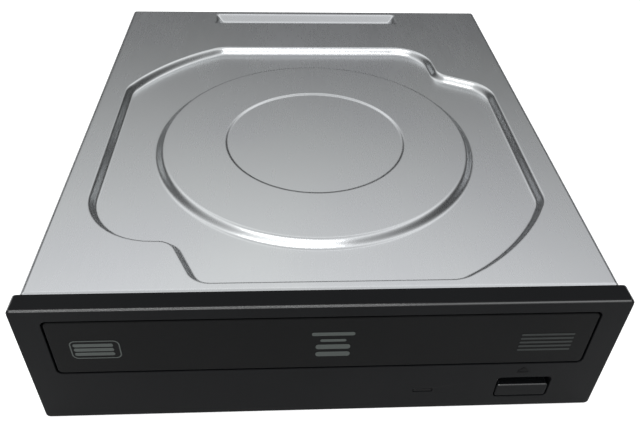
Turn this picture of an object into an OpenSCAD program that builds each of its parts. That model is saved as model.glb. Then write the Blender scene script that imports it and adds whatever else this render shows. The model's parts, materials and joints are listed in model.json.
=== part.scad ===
// Half-height internal disc drive, in millimetres.
// The origin is at the middle of the footprint, on the underside. +X is right seen from the
// front, +Y runs to the rear, +Z is up.

/* [Case] */
// Width of the steel case
case_w = 146; // [144:0.5:149]
// Depth of the case behind the front panel
case_d = 165; // [163:0.5:172]
// Height of the case
case_h = 41.4; // [41:0.1:44]
// Thickness of the top cover's sheet
cover_t = 0.6; // [0.5:0.05:0.8]
// Thickness of the bottom cover's sheet
pan_t = 0.8; // [0.6:0.05:1]
// Outer bend radius along the cover's long edges
cover_bend = 1.4; // [1:0.1:2]
// Height of the bottom cover's side lips
pan_lip = 6.4; // [4:0.2:7]
// Height of the cover's lip over the rear wall
rear_lip = 8; // [5:0.5:12]

/* [Mounting holes] */
// First mounting hole behind the front panel
hole_first = 47.4; // [46:0.1:49]
// Distance between the holes from front to rear
hole_pitch = 79.25; // [78:0.25:80]
// Height of the lower side holes
hole_low = 9.9; // [9.5:0.1:11]
// Distance between the lower and upper side holes
hole_rise = 11.94; // [11:0.02:13]
// Distance between the bottom holes across the case
hole_across = 139.7; // [138.5:0.1:139.9]
// Radius of the tapped holes
tap_r = 1.25; // [1.1:0.05:1.5]
// Length of each extruded thread collar, with the sheet
collar_l = 2.4; // [2:0.1:2.8]

/* [Front panel] */
// Width of the front panel
bezel_w = 148.6; // [148:0.2:152]
// Height of the front panel
bezel_h = 42; // [41.6:0.1:45]
// Depth of the front panel
bezel_t = 5.4; // [5:0.1:6]
// Wall of the front panel
bezel_wall = 2.2; // [1.8:0.1:2.4]
// Radius of the front panel's corners
bezel_r = 1.4; // [0.8:0.1:2.5]
// Width of the tray door
door_w = 133.6; // [132:0.2:137]
// Height of the tray door
door_h = 18.6; // [17:0.2:19]
// Height of the door's middle
door_z = 28.4; // [28:0.1:29]
// Gap around the door
door_gap = 0.5; // [0.3:0.05:0.8]
// Thickness of the door
door_t = 2.2; // [1.6:0.1:2.4]
// Width of the eject button
button_w = 14; // [10:0.5:18]
// Height of the eject button's flush lower half
button_h = 4.8; // [4:0.1:5.4]
// Height of the eject button's sunk upper half
button_scoop_h = 2.8; // [2:0.1:3.4]
// Distance of the eject button from the middle
button_x = 53.6; // [52:0.2:55]
// Height of the eject button's lower edge
button_z = 4.8; // [4.4:0.1:5.4]
// Travel of the eject button
button_travel = 1; // [0.6:0.1:1.2]
// Gap around the eject button
button_gap = 0.35; // [0.25:0.05:0.5]
// Width of the status light
light_w = 5; // [3:0.5:8]
// Height of the status light
light_h = 1; // [0.8:0.1:1.6]
// Distance of the status light from the middle
light_x = 26.5; // [24:0.5:32]
// Height of the status light's middle
light_z = 8.1; // [7.6:0.1:8.6]

/* [Pressed cover] */
// Width of the sunk field
field_w = 129.2; // [128:0.2:132]
// Length of the sunk field
field_l = 127.2; // [126:0.2:130]
// Radius of the field's two large corners about the disc centre
field_r = 72.3; // [71.5:0.1:74]
// Depth of the sunk field
press_depth = 2.4; // [1.6:0.1:2.8]
// Width of the sloped wall round the sunk field
wall_run = 2; // [1.4:0.1:2.6]
// Radius of the round plateau's top
plateau_r = 47.3; // [45:0.1:50]
// Width of the plateau's sloped wall
plateau_run = 2.7; // [2:0.1:3.2]
// How far the plateau lies below the cover's top
plateau_sink = 0.2; // [0.1:0.05:0.4]
// Radius of the sunk label disc
label_r = 28.4; // [24:0.2:34]
// Depth of the sunk label disc
label_sink = 0.35; // [0.2:0.05:0.5]
// Width of the trough at the rear
trough_w = 76; // [60:1:90]
// Length of the trough
trough_l = 9.4; // [8:0.2:11]
// Depth of the trough
trough_depth = 2; // [1:0.1:2.4]
// Distance of the trough from the case's rear edge
trough_back = 3.2; // [2.6:0.1:4.5]

/* [Loader frame] */
// Gap between the tray and the frame's side walls
side_gap = 0.5; // [0.3:0.05:0.8]
// Thickness of the frame's walls
frame_t = 2; // [1.6:0.1:2.2]
// Height of the frame's front floor
floor_z = 12; // [11.8:0.1:12.2]
// Thickness of the frame's front floor
floor_t = 1.6; // [1.4:0.1:1.8]
// Width of the tray's runners
runner_w = 3.5; // [3:0.1:4]
// Thickness of the frame's foot flanges
foot_t = 1.4; // [1.2:0.1:1.6]

/* [Tray] */
// Width of the tray
tray_w = 129; // [128:0.2:130]
// Height of the tray's underside
tray_z = 22.6; // [22.5:0.1:23]
// Height of the tray's rim above its underside
tray_h = 6; // [5.6:0.1:6.2]
// Depth of the large disc's recess
recess_h = 3.4; // [3:0.1:3.6]
// Radius of the large disc's recess
recess_r = 61; // [60.5:0.1:61.5]
// Depth of the small disc's recess below the large one
small_h = 1.1; // [0.8:0.1:1.3]
// Radius of the small disc's recess
small_r = 41; // [40.5:0.1:42]
// Radius of the tray's opening round the hub
hub_open_r = 18; // [17.5:0.1:19]
// Half width of the tray's rear slot
slot_half = 27; // [26:0.2:28]
// Travel of the tray
tray_travel = 140; // [130:1:140]

/* [Tray drive] */
// Tooth size of the rack and its pinion
rack_module = 1; // [0.95:0.05:1.05]
// Teeth of the rack's pinion
pinion_teeth = 14; // [13:1:14]
// Tooth size of the gear train
gear_module = 0.8; // [0.75:0.05:0.8]
// Teeth of the large wheel
wheel_teeth = 28; // [26:1:28]
// Teeth of the belt wheel's pinion
small_teeth = 12; // [12:1:13]
// Flank clearance of each tooth
tooth_slack = 0.16; // [0.1:0.02:0.24]
// Belt radius at the motor pulley
motor_groove_r = 3.2; // [2.8:0.1:3.6]
// Belt radius at the belt wheel
wheel_groove_r = 9.3; // [8.6:0.1:9.6]
// Thickness of the drive belt
belt_t = 1.2; // [0.8:0.1:1.4]
// Distance of the gears behind the case's front edge
gear_y = 15; // [14.8:0.1:15.4]
// Radius of the loading motor
motor_r = 12; // [10:0.2:12]
// Length of the loading motor
motor_l = 12; // [10:0.2:12.2]

/* [Deck] */
// Distance of the disc centre behind the case's front edge
disc_back = 66.8; // [66:0.1:67.4]
// How far the disc centre drops with the deck
deck_drop = 6; // [5:0.1:6]
// Distance of the deck's pivot behind the disc centre
pivot_back = 84.2; // [83.6:0.1:84.6]
// Height of the deck's pivot
pivot_z = 13.3; // [13.2:0.05:13.5]
// Radius of the deck's pivot pins
pivot_r = 2; // [1.6:0.1:2.2]
// Distance of the cam behind the case's front edge
cam_back = 28.6; // [28.6:0.1:29]
// Thickness of the cam's web
cam_t = 2.4; // [2:0.1:2.4]
// Travel of the cam
cam_travel = 20; // [18:0.5:20]
// Radius of the lift pins
lift_pin_r = 1.5; // [1.2:0.1:1.6]
// Thickness of the lift frame
lift_t = 3.4; // [3:0.1:3.6]
// Width of the lift frame's bars
lift_bar = 8; // [7:0.2:8.4]
// Thickness of the steel deck
deck_t = 1.2; // [1:0.05:1.4]
// Height of the steel deck above the lift frame
deck_lift_gap = 0.6; // [0.5:0.05:0.8]

/* [Pickup] */
// Distance of the guide rods from the middle
rod_x = 27; // [26.8:0.1:27.4]
// Radius of the guide rods
rod_r = 1.5; // [1.2:0.05:1.6]
// Travel of the pickup
sled_travel = 35; // [30:0.5:35]
// Distance of the lens behind the disc centre, at rest
lens_back = 24; // [23.5:0.1:24.5]
// Radius of the lens
lens_r = 2.1; // [1.6:0.1:2.4]
// Distance of the lead screw from the middle
screw_x = 34.6; // [34.4:0.1:35]
// Radius of the lead screw
screw_r = 1.5; // [1.2:0.1:1.6]
// Radius of the pickup motor
sled_motor_r = 5; // [4:0.1:5.2]

/* [Spindle and clamp] */
// Radius of the turntable
table_r = 15; // [14:0.1:15.4]
// Height at which the disc lies
disc_z = 26.6; // [26.4:0.1:26.8]
// Thickness of a disc
disc_t = 1.2; // [1.1:0.1:1.3]
// Radius of the turntable's centring cone
cone_r = 7.4; // [7:0.1:7.45]
// Height of the centring cone above the disc's seat
cone_h = 2.2; // [1.8:0.1:2.3]
// Radius of the spindle shaft
shaft_r = 1.5; // [1.2:0.05:1.6]
// Radius of the motor's rotor
rotor_r = 14.4; // [13:0.1:14.6]
// Radius of the clamp's lower ring
puck_r = 14.6; // [13.6:0.1:15]
// Radius of the clamp's flange
puck_flange_r = 18.4; // [17.4:0.1:20]
// Thickness of the clamp bridge
bridge_t = 1; // [0.8:0.1:1.2]
// Height of the clamp bridge's underside
bridge_z = 31.4; // [31.2:0.1:31.6]
// Width of the clamp bridge
bridge_w = 40; // [38:0.5:44]

/* [Electronics] */
// Thickness of the circuit boards
board_t = 1.6; // [1:0.1:1.8]
// Width of the main board
board_w = 124; // [120:1:125]
// Length of the main board
board_l = 78; // [70:1:79]
// Height of the front board
front_board_z = 4.6; // [4.4:0.1:4.8]
// Width of the data and power connector
plug_w = 37.4; // [36:0.2:40]
// Height of the data and power connector
plug_h = 7.6; // [7:0.1:8]
// Depth of the data and power connector
plug_d = 12; // [10:0.2:13]
// Distance of the connector's middle from the middle of the case
plug_x = 33; // [28:0.5:34]

/* [Fits] */
// Gap between pieces that don't touch
gap = 0.1; // [0.08:0.01:0.15]
// Radial clearance of a running fit
run = 0.05; // [0.03:0.01:0.08]
// Distance of the case screws from the frame's walls
screw_in = 3.5; // [3.2:0.1:4]

/* [Hidden] */
$fn = 64;

steel = [0.62, 0.64, 0.65];
bright_steel = [0.78, 0.79, 0.80];
black = [0.13, 0.13, 0.14];
dark = [0.2, 0.2, 0.21];
rubber = [0.08, 0.08, 0.08];
white_resin = [0.85, 0.85, 0.82];
copper = [0.75, 0.45, 0.25];
board_green = [0.1, 0.35, 0.22];

// Planes of the case and the front panel
front_y = -(bezel_t + case_d) / 2;
case_y0 = front_y + bezel_t;
case_y1 = case_y0 + case_d;
disc_y = case_y0 + disc_back;
side_in = case_w / 2 - cover_t;
pan_half = side_in - gap;
rear_wall_y = case_y1 - cover_t - gap;

// Loader frame
wall_in = tray_w / 2 + side_gap;
wall_out = wall_in + frame_t;
foot_in = wall_in - 8;
foot_z = pan_t + foot_t;
rim_z = tray_z + tray_h;
runner_z = tray_z - 0.2;
floor_top = floor_z + floor_t;
frame_y0 = case_y0 + 1;
frame_y1 = rear_wall_y - pan_t - 1;
front_wall_t = 1.6;
front_wall_z = 18;
screw_x_case = wall_in - screw_in;
screw_rows = [case_y0 + 8, case_y1 - 7.5];
dimple_h = 1.2;
dimple_r = 4.2;
bridge_screw_x = wall_out + 1.2;
bridge_screw_y = 14;
clip_rows = [[12, 17], [24.4, 29.4]];

// Tray
tray_y0 = front_y + door_t + 2;
tray_y1 = case_y0 + gear_y + tray_travel + 0.8;
floor_disc_z = rim_z - recess_h;
skin = 2;

// Tray drive
pitch_x = -(tray_w / 2 - 8);
pinion_rp = rack_module * pinion_teeth / 2;
tray_gear_x = pitch_x + pinion_rp;
wheel_rp = gear_module * wheel_teeth / 2;
small_rp = gear_module * small_teeth / 2;
belt_gear_x = tray_gear_x + wheel_rp + small_rp;
motor_x = belt_gear_x + 37.5;
drive_y = case_y0 + gear_y;
tooth_top = 0.8;
tooth_root = 1.15;
pulley_z = floor_top + 0.4;
pulley_t = 2.2;
wheel_z = pulley_z + pulley_t + 0.2;
wheel_t = 2;
rack_z = wheel_z + wheel_t + 0.6;
belt_post_r = 1.5;
tray_post_r = 2;

// Deck
pivot_y = disc_y + pivot_back;
drop_angle = asin(deck_drop / pivot_back);
cam_y0 = case_y0 + cam_back;
cam_y1 = cam_y0 + cam_t;
rail_z = 2;
rail_lip = 1;
web_half_gap = 0.2;
pin_y = cam_y0 + cam_t / 2;
pin_drop = (pivot_y - pin_y) * sin(drop_angle);
pin_xs = [-18, 22];
lift_x = [-48, 58];
lift_y0 = cam_y1 + 2.2;
lift_y1 = pivot_y - 3;
lift_z = pivot_z - lift_t / 2;
lift_top = lift_z + lift_t;
deck_z = lift_top + deck_lift_gap;
deck_top = deck_z + deck_t;
deck_x = [lift_x[0] + lift_bar + 3, lift_x[1] - lift_bar - 3];
deck_y = [lift_y0 + lift_bar + 2.5, lift_y1 - lift_bar + 1.5];
damper_xs = [lift_x[0] + lift_bar / 2, lift_x[1] - lift_bar / 2];
damper_ys = [lift_y0 + 14.8, lift_y1 - 14];
damper_r = 3.6;
waist_r = 2.3;
pivot_ears = [[lift_x[0], lift_x[0] + 4], [lift_x[1] - 4, lift_x[1]]];

// Pickup
rod_z = deck_top + rod_r + 0.3;
rod_y = [disc_y + 4, disc_y + 74.5];
window_y = [disc_y + 9, disc_y + 71.5];
window_x = [-31, screw_x + 6.4];
lens_y = disc_y + lens_back;
sled_y = [disc_y + 14, disc_y + 36];
sled_z = [deck_z - 3, disc_z - 2.6];
sled_half = 22;
wing_half = 30.4;
screw_z = deck_z + 0.6;
sled_motor_y = [disc_y - 9, disc_y + 5];
bracket_t = 0.8;
well = [9.4, disc_y + 17, disc_y + 33];
well_z = sled_z[1] - 4.6;

// Spindle and clamp
pad_t = 0.3;
seat_z = disc_z - pad_t;
rotor_z = [deck_top + 0.6, seat_z - 2.7];
rotor_wall = 0.9;
magnet_t = 0.5;
stator_z = [rotor_z[0] + 0.6, rotor_z[1] - 1.6];
base_z = deck_z - 1.2;
bearing_r = 3.8;
puck_z = disc_z + disc_t + 0.2;
cone_z = disc_z + cone_h;
flange_z = bridge_z + bridge_t + 0.25;

// Electronics
board_y1 = rear_wall_y - pan_t - 1.4;
board_y0 = board_y1 - board_l;
board_z = foot_z;
board_top = board_z + board_t;
front_board_top = front_board_z + board_t;
front_board_x = [20, 57];
front_board_y = [case_y0 + 5, case_y0 + 23];
ribbon_x = [wall_in - 7.2, wall_in - 3.2];
ribbon_t = 0.3;
switch_h = 3.6;
can_h = 5.4;
stem_y = case_y0 + 3.8;

// A box between two corners, given axis by axis
module span(x, y, z) {
    translate([x[0], y[0], z[0]]) cube([x[1] - x[0], y[1] - y[0], z[1] - z[0]]);
}

// A flat outline in X and Z, drawn out along Y
module along_y(y0, y1) {
    translate([0, y1, 0]) rotate([90, 0, 0]) linear_extrude(y1 - y0) children();
}

// A flat outline in Y and Z, drawn out along X
module along_x(x0, x1) {
    translate([x0, 0, 0]) rotate([90, 0, 90]) linear_extrude(x1 - x0) children();
}

// A flat outline in X and Y, drawn up along Z
module along_z(z0, z1) {
    translate([0, 0, z0]) linear_extrude(z1 - z0) children();
}

// A round bar along Y from y0 to y1
module bar_y(x, z, r, y0, y1) {
    translate([x, y0, z]) rotate([-90, 0, 0]) cylinder(r = r, h = y1 - y0);
}

// A round bar along X from x0 to x1
module bar_x(y, z, r, x0, x1) {
    translate([x0, y, z]) rotate([0, 90, 0]) cylinder(r = r, h = x1 - x0);
}

// A round bar along Z from z0 to z1
module bar_z(x, y, r, z0, z1) {
    translate([x, y, z0]) cylinder(r = r, h = z1 - z0);
}

// The same piece on both sides
module both() {
    children();
    mirror([1, 0, 0]) children();
}

// A rounded rectangle about its middle
module rounded_rect(w, h, r) {
    square([w - 2 * r, h], center = true);
    square([w, h - 2 * r], center = true);
    for (x = [-1, 1], y = [-1, 1]) translate([x * (w / 2 - r), y * (h / 2 - r)]) circle(r);
}

// A straight slot with round ends between two points
module slot(p, q, r) {
    translate(p) circle(r);
    translate(q) circle(r);
    reach = norm(q - p);
    translate(p) rotate(atan2(q[1] - p[1], q[0] - p[0])) translate([0, -r]) square([reach, 2 * r]);
}

// Points of an arc about c, from angle a0 to a1
function arc(c, r, a0, a1, n) =
    [for (i = [0 : n]) let (a = a0 + (a1 - a0) * i / n) c + r * [cos(a), sin(a)]];

// A vector of length one
function unit(v) = v / norm(v);

// The corner b of the path a, b, c as an arc of radius r
function round_corner(a, b, c, r, n) =
    let (u = unit(a - b), v = unit(c - b), half = acos(u * v) / 2,
        centre = b + unit(u + v) * r / sin(half),
        p = b + u * r / tan(half) - centre, q = b + v * r / tan(half) - centre,
        a0 = atan2(p[1], p[0]), turn = atan2(q[1], q[0]) - a0,
        sweep = turn > 180 ? turn - 360 : turn < -180 ? turn + 360 : turn)
    arc(centre, r, a0, a0 + sweep, n);

// A closed path whose corners [x, y, radius] are rounded; radius 0 keeps the point
function round_path(corners, n) =
    let (m = len(corners), at = [for (k = corners) [k[0], k[1]]])
    [for (i = [0 : m - 1]) each corners[i][2] > 0
        ? round_corner(at[(i + m - 1) % m], at[i], at[(i + 1) % m], corners[i][2], n)
        : [at[i]]];

// A path that runs anticlockwise, moved inwards by d
function inset(path, d) =
    let (m = len(path))
    [for (i = [0 : m - 1])
        let (u = unit(path[i] - path[(i + m - 1) % m]), v = unit(path[(i + 1) % m] - path[i]),
            side = unit([-u[1] - v[1], u[0] + v[0]]))
        path[i] + side * d / (side * [-u[1], u[0]])];

// A solid through rings of one path, each [inset, height], from the top ring to the bottom
module dish(path, rings) {
    m = len(path);
    k = len(rings);
    sides = [for (ring = rings) for (p = inset(path, ring[0])) [p[0], p[1], ring[1]]];
    ends = [[0, 0, rings[0][1]], [0, 0, rings[k - 1][1]]];
    walls = [for (j = [0 : k - 2]) for (i = [0 : m - 1])
        [j * m + i, j * m + (i + 1) % m, (j + 1) * m + (i + 1) % m, (j + 1) * m + i]];
    halves = [for (w = walls) each [[w[0], w[1], w[2]], [w[0], w[2], w[3]]]];
    caps = [for (i = [0 : m - 1]) let (j = (i + 1) % m)
        each [[k * m, j, i], [k * m + 1, (k - 1) * m + i, (k - 1) * m + j]]];
    polyhedron(concat(sides, ends), concat(halves, caps));
}

// Outline of the sunk field about the disc centre: two large arcs and two stepped corners
half_w = field_w / 2;
half_l = field_l / 2;
reach_x = sqrt(pow(field_r, 2) - pow(half_l, 2));
reach_y = sqrt(pow(field_r, 2) - pow(half_w, 2));
arc_from = atan2(-half_l, reach_x);
arc_to = atan2(-reach_y, half_w);
near_step = [24.7, 15.4];
near_slope = 7.5;
far_step = [17.2, 21.3];
far_lean = 9.1;
far_slope = 2.1;
arc_n = max(1, round(field_r * (arc_to - arc_from) * PI / 180 / 7));
far_arc = arc([0, 0], field_r, 180 + arc_from, 180 + arc_to, arc_n);
near_arc = arc([0, 0], field_r, arc_from, arc_to, arc_n);
field_corners = concat(
    [[-half_w + near_step[0] + near_slope, -half_l, 7]],
    [for (i = [0 : arc_n]) [near_arc[i][0], near_arc[i][1], i == 0 || i == arc_n ? 5 : 0]],
    [[half_w, half_l - far_step[1] - far_lean, 10],
        [half_w - far_step[0], half_l - far_step[1], 4],
        [half_w - far_step[0] - far_slope, half_l, 9]],
    [for (i = [0 : arc_n]) [far_arc[i][0], far_arc[i][1], i == 0 || i == arc_n ? 5 : 0]],
    [[-half_w, -half_l + near_step[1], 20.5], [-half_w + near_step[0], -half_l + near_step[1], 5]]);
field_path = round_path(field_corners, 5);

// Heights and insets of a pressed wall with rounded lips
function press_rings(top, depth, run_w) =
    [for (t = [0, 0.22, 0.5, 0.78, 1]) [run_w * t, top - depth * (3 * t * t - 2 * t * t * t)]];

// Half of the arch that the cover's section makes
module arch(w, h, r) {
    translate([-w / 2, 0]) square([w, h - r]);
    translate([-w / 2 + r, 0]) square([w - 2 * r, h]);
    for (s = [-1, 1]) translate([s * (w / 2 - r), h - r]) circle(r);
}

// Places of the four mounting holes of one side or of the bottom
module hole_rows() {
    for (y = [0, hole_pitch]) translate([0, case_y0 + hole_first + y, 0]) children();
}

// The thread collars of both sides, or with r the holes in them
module side_collars(r, x0, x1) {
    for (z = [hole_low, hole_low + hole_rise]) hole_rows() both() bar_x(0, z, r, x0, x1);
}

// A block with sloped sides between two rectangles [x half, y0, y1]
module trough_cut(top, bottom, z0, z1) {
    polyhedron([[-top[0], top[1], z1], [top[0], top[1], z1], [top[0], top[2], z1],
        [-top[0], top[2], z1], [-bottom[0], bottom[1], z0], [bottom[0], bottom[1], z0],
        [bottom[0], bottom[2], z0], [-bottom[0], bottom[2], z0]],
        [[3, 2, 1, 0], [4, 5, 6, 7], [0, 1, 5, 4], [1, 2, 6, 5], [2, 3, 7, 6], [3, 0, 4, 7]]);
}

// Everything that the press takes out of the cover's top
module pressed_top() {
    top = case_h - press_depth;
    translate([0, disc_y, 0]) {
        difference() {
            dish(field_path, concat([[0, case_h + 1]], press_rings(case_h, press_depth, wall_run)));
            translate([0, 0, top - 1])
                cylinder(r1 = plateau_r + plateau_run, r2 = plateau_r, h = press_depth + 1 - plateau_sink);
        }
        bar_z(0, 0, label_r, case_h - plateau_sink - label_sink, case_h + 1);
    }
    trough_y1 = case_y1 - trough_back;
    trough_cut([trough_w / 2, trough_y1 - trough_l, trough_y1],
        [trough_w / 2 - 3.5, trough_y1 - trough_l + 2.4, trough_y1 - 4.4],
        case_h - trough_depth, case_h + 0.01);
}

// The sheet under the pressed forms
module pressed_under() {
    low = case_h - press_depth - cover_t;
    translate([0, disc_y, 0]) difference() {
        dish(inset(field_path, -0.4),
            concat([[0, case_h - 0.3]], press_rings(case_h - cover_t, press_depth, wall_run)));
        translate([0, 0, low - 1])
            cylinder(r1 = plateau_r + plateau_run - 0.3, r2 = plateau_r - 0.5,
                h = press_depth + 1 - plateau_sink);
    }
    bar_z(0, disc_y, plateau_r + 0.2, case_h - plateau_sink - cover_t, case_h - 0.3);
    bar_z(0, disc_y, label_r + cover_t, case_h - plateau_sink - label_sink - cover_t, case_h - 0.3);
    trough_y1 = case_y1 - trough_back;
    trough_cut([trough_w / 2 + 0.5, trough_y1 - trough_l - 0.5, trough_y1 + 0.4],
        [trough_w / 2 - 3.5, trough_y1 - trough_l + 2.2, trough_y1 - 4.2],
        case_h - trough_depth - cover_t, case_h - 0.3);
}

module top_cover() {
    color(steel) difference() {
        union() {
            along_y(case_y0, case_y1) difference() {
                arch(case_w, case_h, cover_bend);
                translate([0, -1]) arch(case_w - 2 * cover_t, case_h - cover_t + 1, cover_bend - cover_t);
            }
            along_y(case_y1 - cover_t, case_y1) intersection() {
                arch(case_w, case_h, cover_bend);
                translate([-case_w / 2, case_h - rear_lip]) square([case_w, rear_lip]);
            }
            along_y(case_y0, case_y0 + cover_t) translate([-case_w / 2 + 3, case_h - 2.2])
                square([case_w - 6, 2]);
            pressed_under();
            side_collars(tap_r + 0.8, case_w / 2 - collar_l, case_w / 2 - 0.1);
        }
        pressed_top();
        side_collars(tap_r, case_w / 2 - collar_l - 1, case_w / 2 + 1);
        // Rounded front edge of the top
        along_x(-case_w / 2 - 1, case_w / 2 + 1) translate([case_y0, case_h]) polygon(
            concat([[-1, 1], [-1, -cover_bend]], arc([cover_bend, -cover_bend], cover_bend, 176, 94, 4),
                [[cover_bend, 1]]));
        // Latch windows over the front panel's clips
        both() for (z = clip_rows)
            span([side_in - 1, case_w / 2 + 1], [case_y0 + 6, case_y0 + 10], [z[0] + 0.5, z[1] - 0.5]);
    }
}

module bottom_cover() {
    panel = [[-44, 44], [case_y0 + 44, case_y0 + 78]];
    plug_cut = [plug_x - plug_w / 2 - 0.6, plug_x + plug_w / 2 + 0.6];
    color(steel) difference() {
        union() {
            span([-pan_half, pan_half], [case_y0 + 0.4, rear_wall_y], [0, pan_t]);
            both() span([pan_half - pan_t, pan_half], [case_y0 + 0.4, rear_wall_y], [0, pan_lip]);
            span([-pan_half, pan_half], [rear_wall_y - pan_t, rear_wall_y], [0, case_h - cover_t - 0.2]);
            span(panel[0], panel[1], [0, pan_t + 1]);
            both() hole_rows() bar_z(hole_across / 2, 0, tap_r + 0.8, 0, collar_l);
            both() for (y = screw_rows) bar_z(screw_x_case, y, dimple_r + pan_t, 0, dimple_h + pan_t);
        }
        span(panel[0] + [1, -1], panel[1] + [1, -1], [-1, 1]);
        both() hole_rows() bar_z(hole_across / 2, 0, tap_r, -1, collar_l + 1);
        both() for (y = screw_rows) {
            bar_z(screw_x_case, y, dimple_r, -1, dimple_h);
            bar_z(screw_x_case, y, 1.7, -1, dimple_h + pan_t + 1);
        }
        span(plug_cut, [rear_wall_y - pan_t - 1, rear_wall_y + 1],
            [board_z - 0.4, board_top + plug_h + 0.6]);
        // Vent slots in the rear wall
        for (i = [0 : 7]) along_y(rear_wall_y - pan_t - 1, rear_wall_y + 1)
            slot([-52 + i * 5.4, 16], [-52 + i * 5.4, 24], 1.1);
    }
}

// Opening in the front panel round a rounded piece
module panel_opening(x, z, w, h, r) {
    along_y(front_y - 1, case_y0 + 1) translate([x, z]) rounded_rect(w, h, r);
}

module bezel() {
    open_w = door_w + 2 * door_gap;
    open_h = door_h + 2 * door_gap;
    button_open = [button_w + 2 * button_gap, button_h + button_scoop_h + 2 * button_gap];
    button_mid = button_z + (button_h + button_scoop_h) / 2;
    color(black) difference() {
        union() {
            along_y(front_y + 0.5, case_y0) translate([0, bezel_h / 2])
                rounded_rect(bezel_w, bezel_h, bezel_r);
            along_y(front_y, front_y + 0.5) translate([0, bezel_h / 2])
                rounded_rect(bezel_w - 0.5, bezel_h - 0.5, bezel_r - 0.25);
            both() for (z = clip_rows) {
                span([wall_out + 0.3, wall_out + 1.7], [front_y + bezel_wall, case_y0 + 9], z);
                span([wall_out - 0.9, wall_out + 0.4], [case_y0 + 7, case_y0 + 8.8], z);
            }
        }
        // Hollow back, with rings left round the openings
        difference() {
            along_y(front_y + bezel_wall, case_y0 + 0.01) difference() {
                translate([0, bezel_h / 2])
                    rounded_rect(bezel_w - 2 * bezel_wall + 0.6, bezel_h - 3, bezel_r - 0.4);
                translate([0, door_z]) rounded_rect(open_w + 2.4, open_h + 2, 2);
                translate([button_x, button_mid])
                    rounded_rect(button_open[0] + 2, button_open[1] + 2, 1.6);
                for (x = [-52, -36, -20, -4, 12, 38]) translate([x, 1]) square([1.2, 17]);
            }
            both() for (z = clip_rows)
                span([wall_out + 0.3, wall_out + 1.7], [front_y, case_y0 + 1], z);
        }
        panel_opening(0, door_z, open_w, open_h, 1.6);
        panel_opening(button_x, button_mid, button_open[0], button_open[1], 1.2);
        panel_opening(light_x, light_z, light_w + 2 * gap, light_h + 2 * gap, 0.3);
    }
}

module led_lens() {
    color(white_resin) {
        span([light_x - light_w / 2, light_x + light_w / 2], [front_y + 0.1, stem_y + 0.6],
            [light_z - light_h / 2, light_z + light_h / 2]);
        span([light_x - light_w / 2 - 1.4, light_x + light_w / 2 + 1.4],
            [front_y + bezel_wall, front_y + bezel_wall + 1.2],
            [light_z - light_h / 2 - 1, light_z + light_h / 2 + 1]);
    }
}

module eject_button() {
    x = [button_x - button_w / 2, button_x + button_w / 2];
    z1 = button_z + button_h;
    color(dark) {
        difference() {
            along_y(front_y, front_y + 5) translate([button_x, button_z + button_h / 2])
                rounded_rect(button_w, button_h, 0.8);
            span(x + [1.4, -1.4], [front_y + 2, front_y + 6], [button_z + 1.2, z1 - 1.2]);
        }
        // Sunk upper half, leaning back from the ledge
        along_x(x[0] + 0.3, x[1] - 0.3) polygon([[front_y + 2.6, z1 - 1], [front_y + 2.6, z1],
            [front_y + 3.8, z1 + button_scoop_h], [front_y + 5, z1 + button_scoop_h],
            [front_y + 5, z1 - 1]]);
        span([button_x - 2.4, button_x + 2.4], [front_y + 1.5, stem_y], [z1 - 3, z1 - 0.4]);
    }
}

module tray_door() {
    color(dark) {
        along_y(front_y, front_y + door_t - 0.4) translate([0, door_z])
            rounded_rect(door_w, door_h, 1.3);
        along_y(front_y + door_t - 0.5, front_y + door_t + 1) translate([0, door_z]) difference() {
            rounded_rect(door_w - 0.6, door_h - 0.6, 1.1);
            rounded_rect(door_w - 4, door_h - 4, 1);
        }
        // Posts against the tray's front wall and hooks over its top
        for (x = [-54, -27, 0, 27, 54]) {
            span([x - 1, x + 1], [front_y + 1, tray_y0], [tray_z + 0.6, rim_z + 2]);
        }
        both() {
            span([34, 40], [front_y + 1, tray_y0 + 3.2], [rim_z + 2.7, rim_z + 4]);
            span([34, 40], [tray_y0 + 2.1, tray_y0 + 3.2], [rim_z + 1.4, rim_z + 2.8]);
        }
    }
}

// Outline of the tray's hub opening and of the slot behind it
module hub_slot() {
    translate([0, disc_y]) circle(hub_open_r);
    translate([-slot_half, disc_y + 9]) square([2 * slot_half, tray_y1 - disc_y]);
    translate([-slot_half + 6, disc_y + 3]) square([2 * slot_half - 12, 8]);
    for (s = [-1, 1]) translate([s * (slot_half - 6), disc_y + 9]) circle(6);
}

// Teeth of a straight rack along Y, facing +X, about the pitch line
module rack_teeth(m, y0, first, count) {
    pitch = PI * m;
    half = pitch / 4 - tooth_slack / 2;
    for (i = [0 : count - 1]) translate([0, y0 + (first + i) * pitch]) polygon([
        [-tooth_root * m, -half - tooth_root * m * tan(20)],
        [tooth_top * m, -half + tooth_top * m * tan(20)],
        [tooth_top * m, half - tooth_top * m * tan(20)],
        [-tooth_root * m, half + tooth_root * m * tan(20)]]);
}

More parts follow.
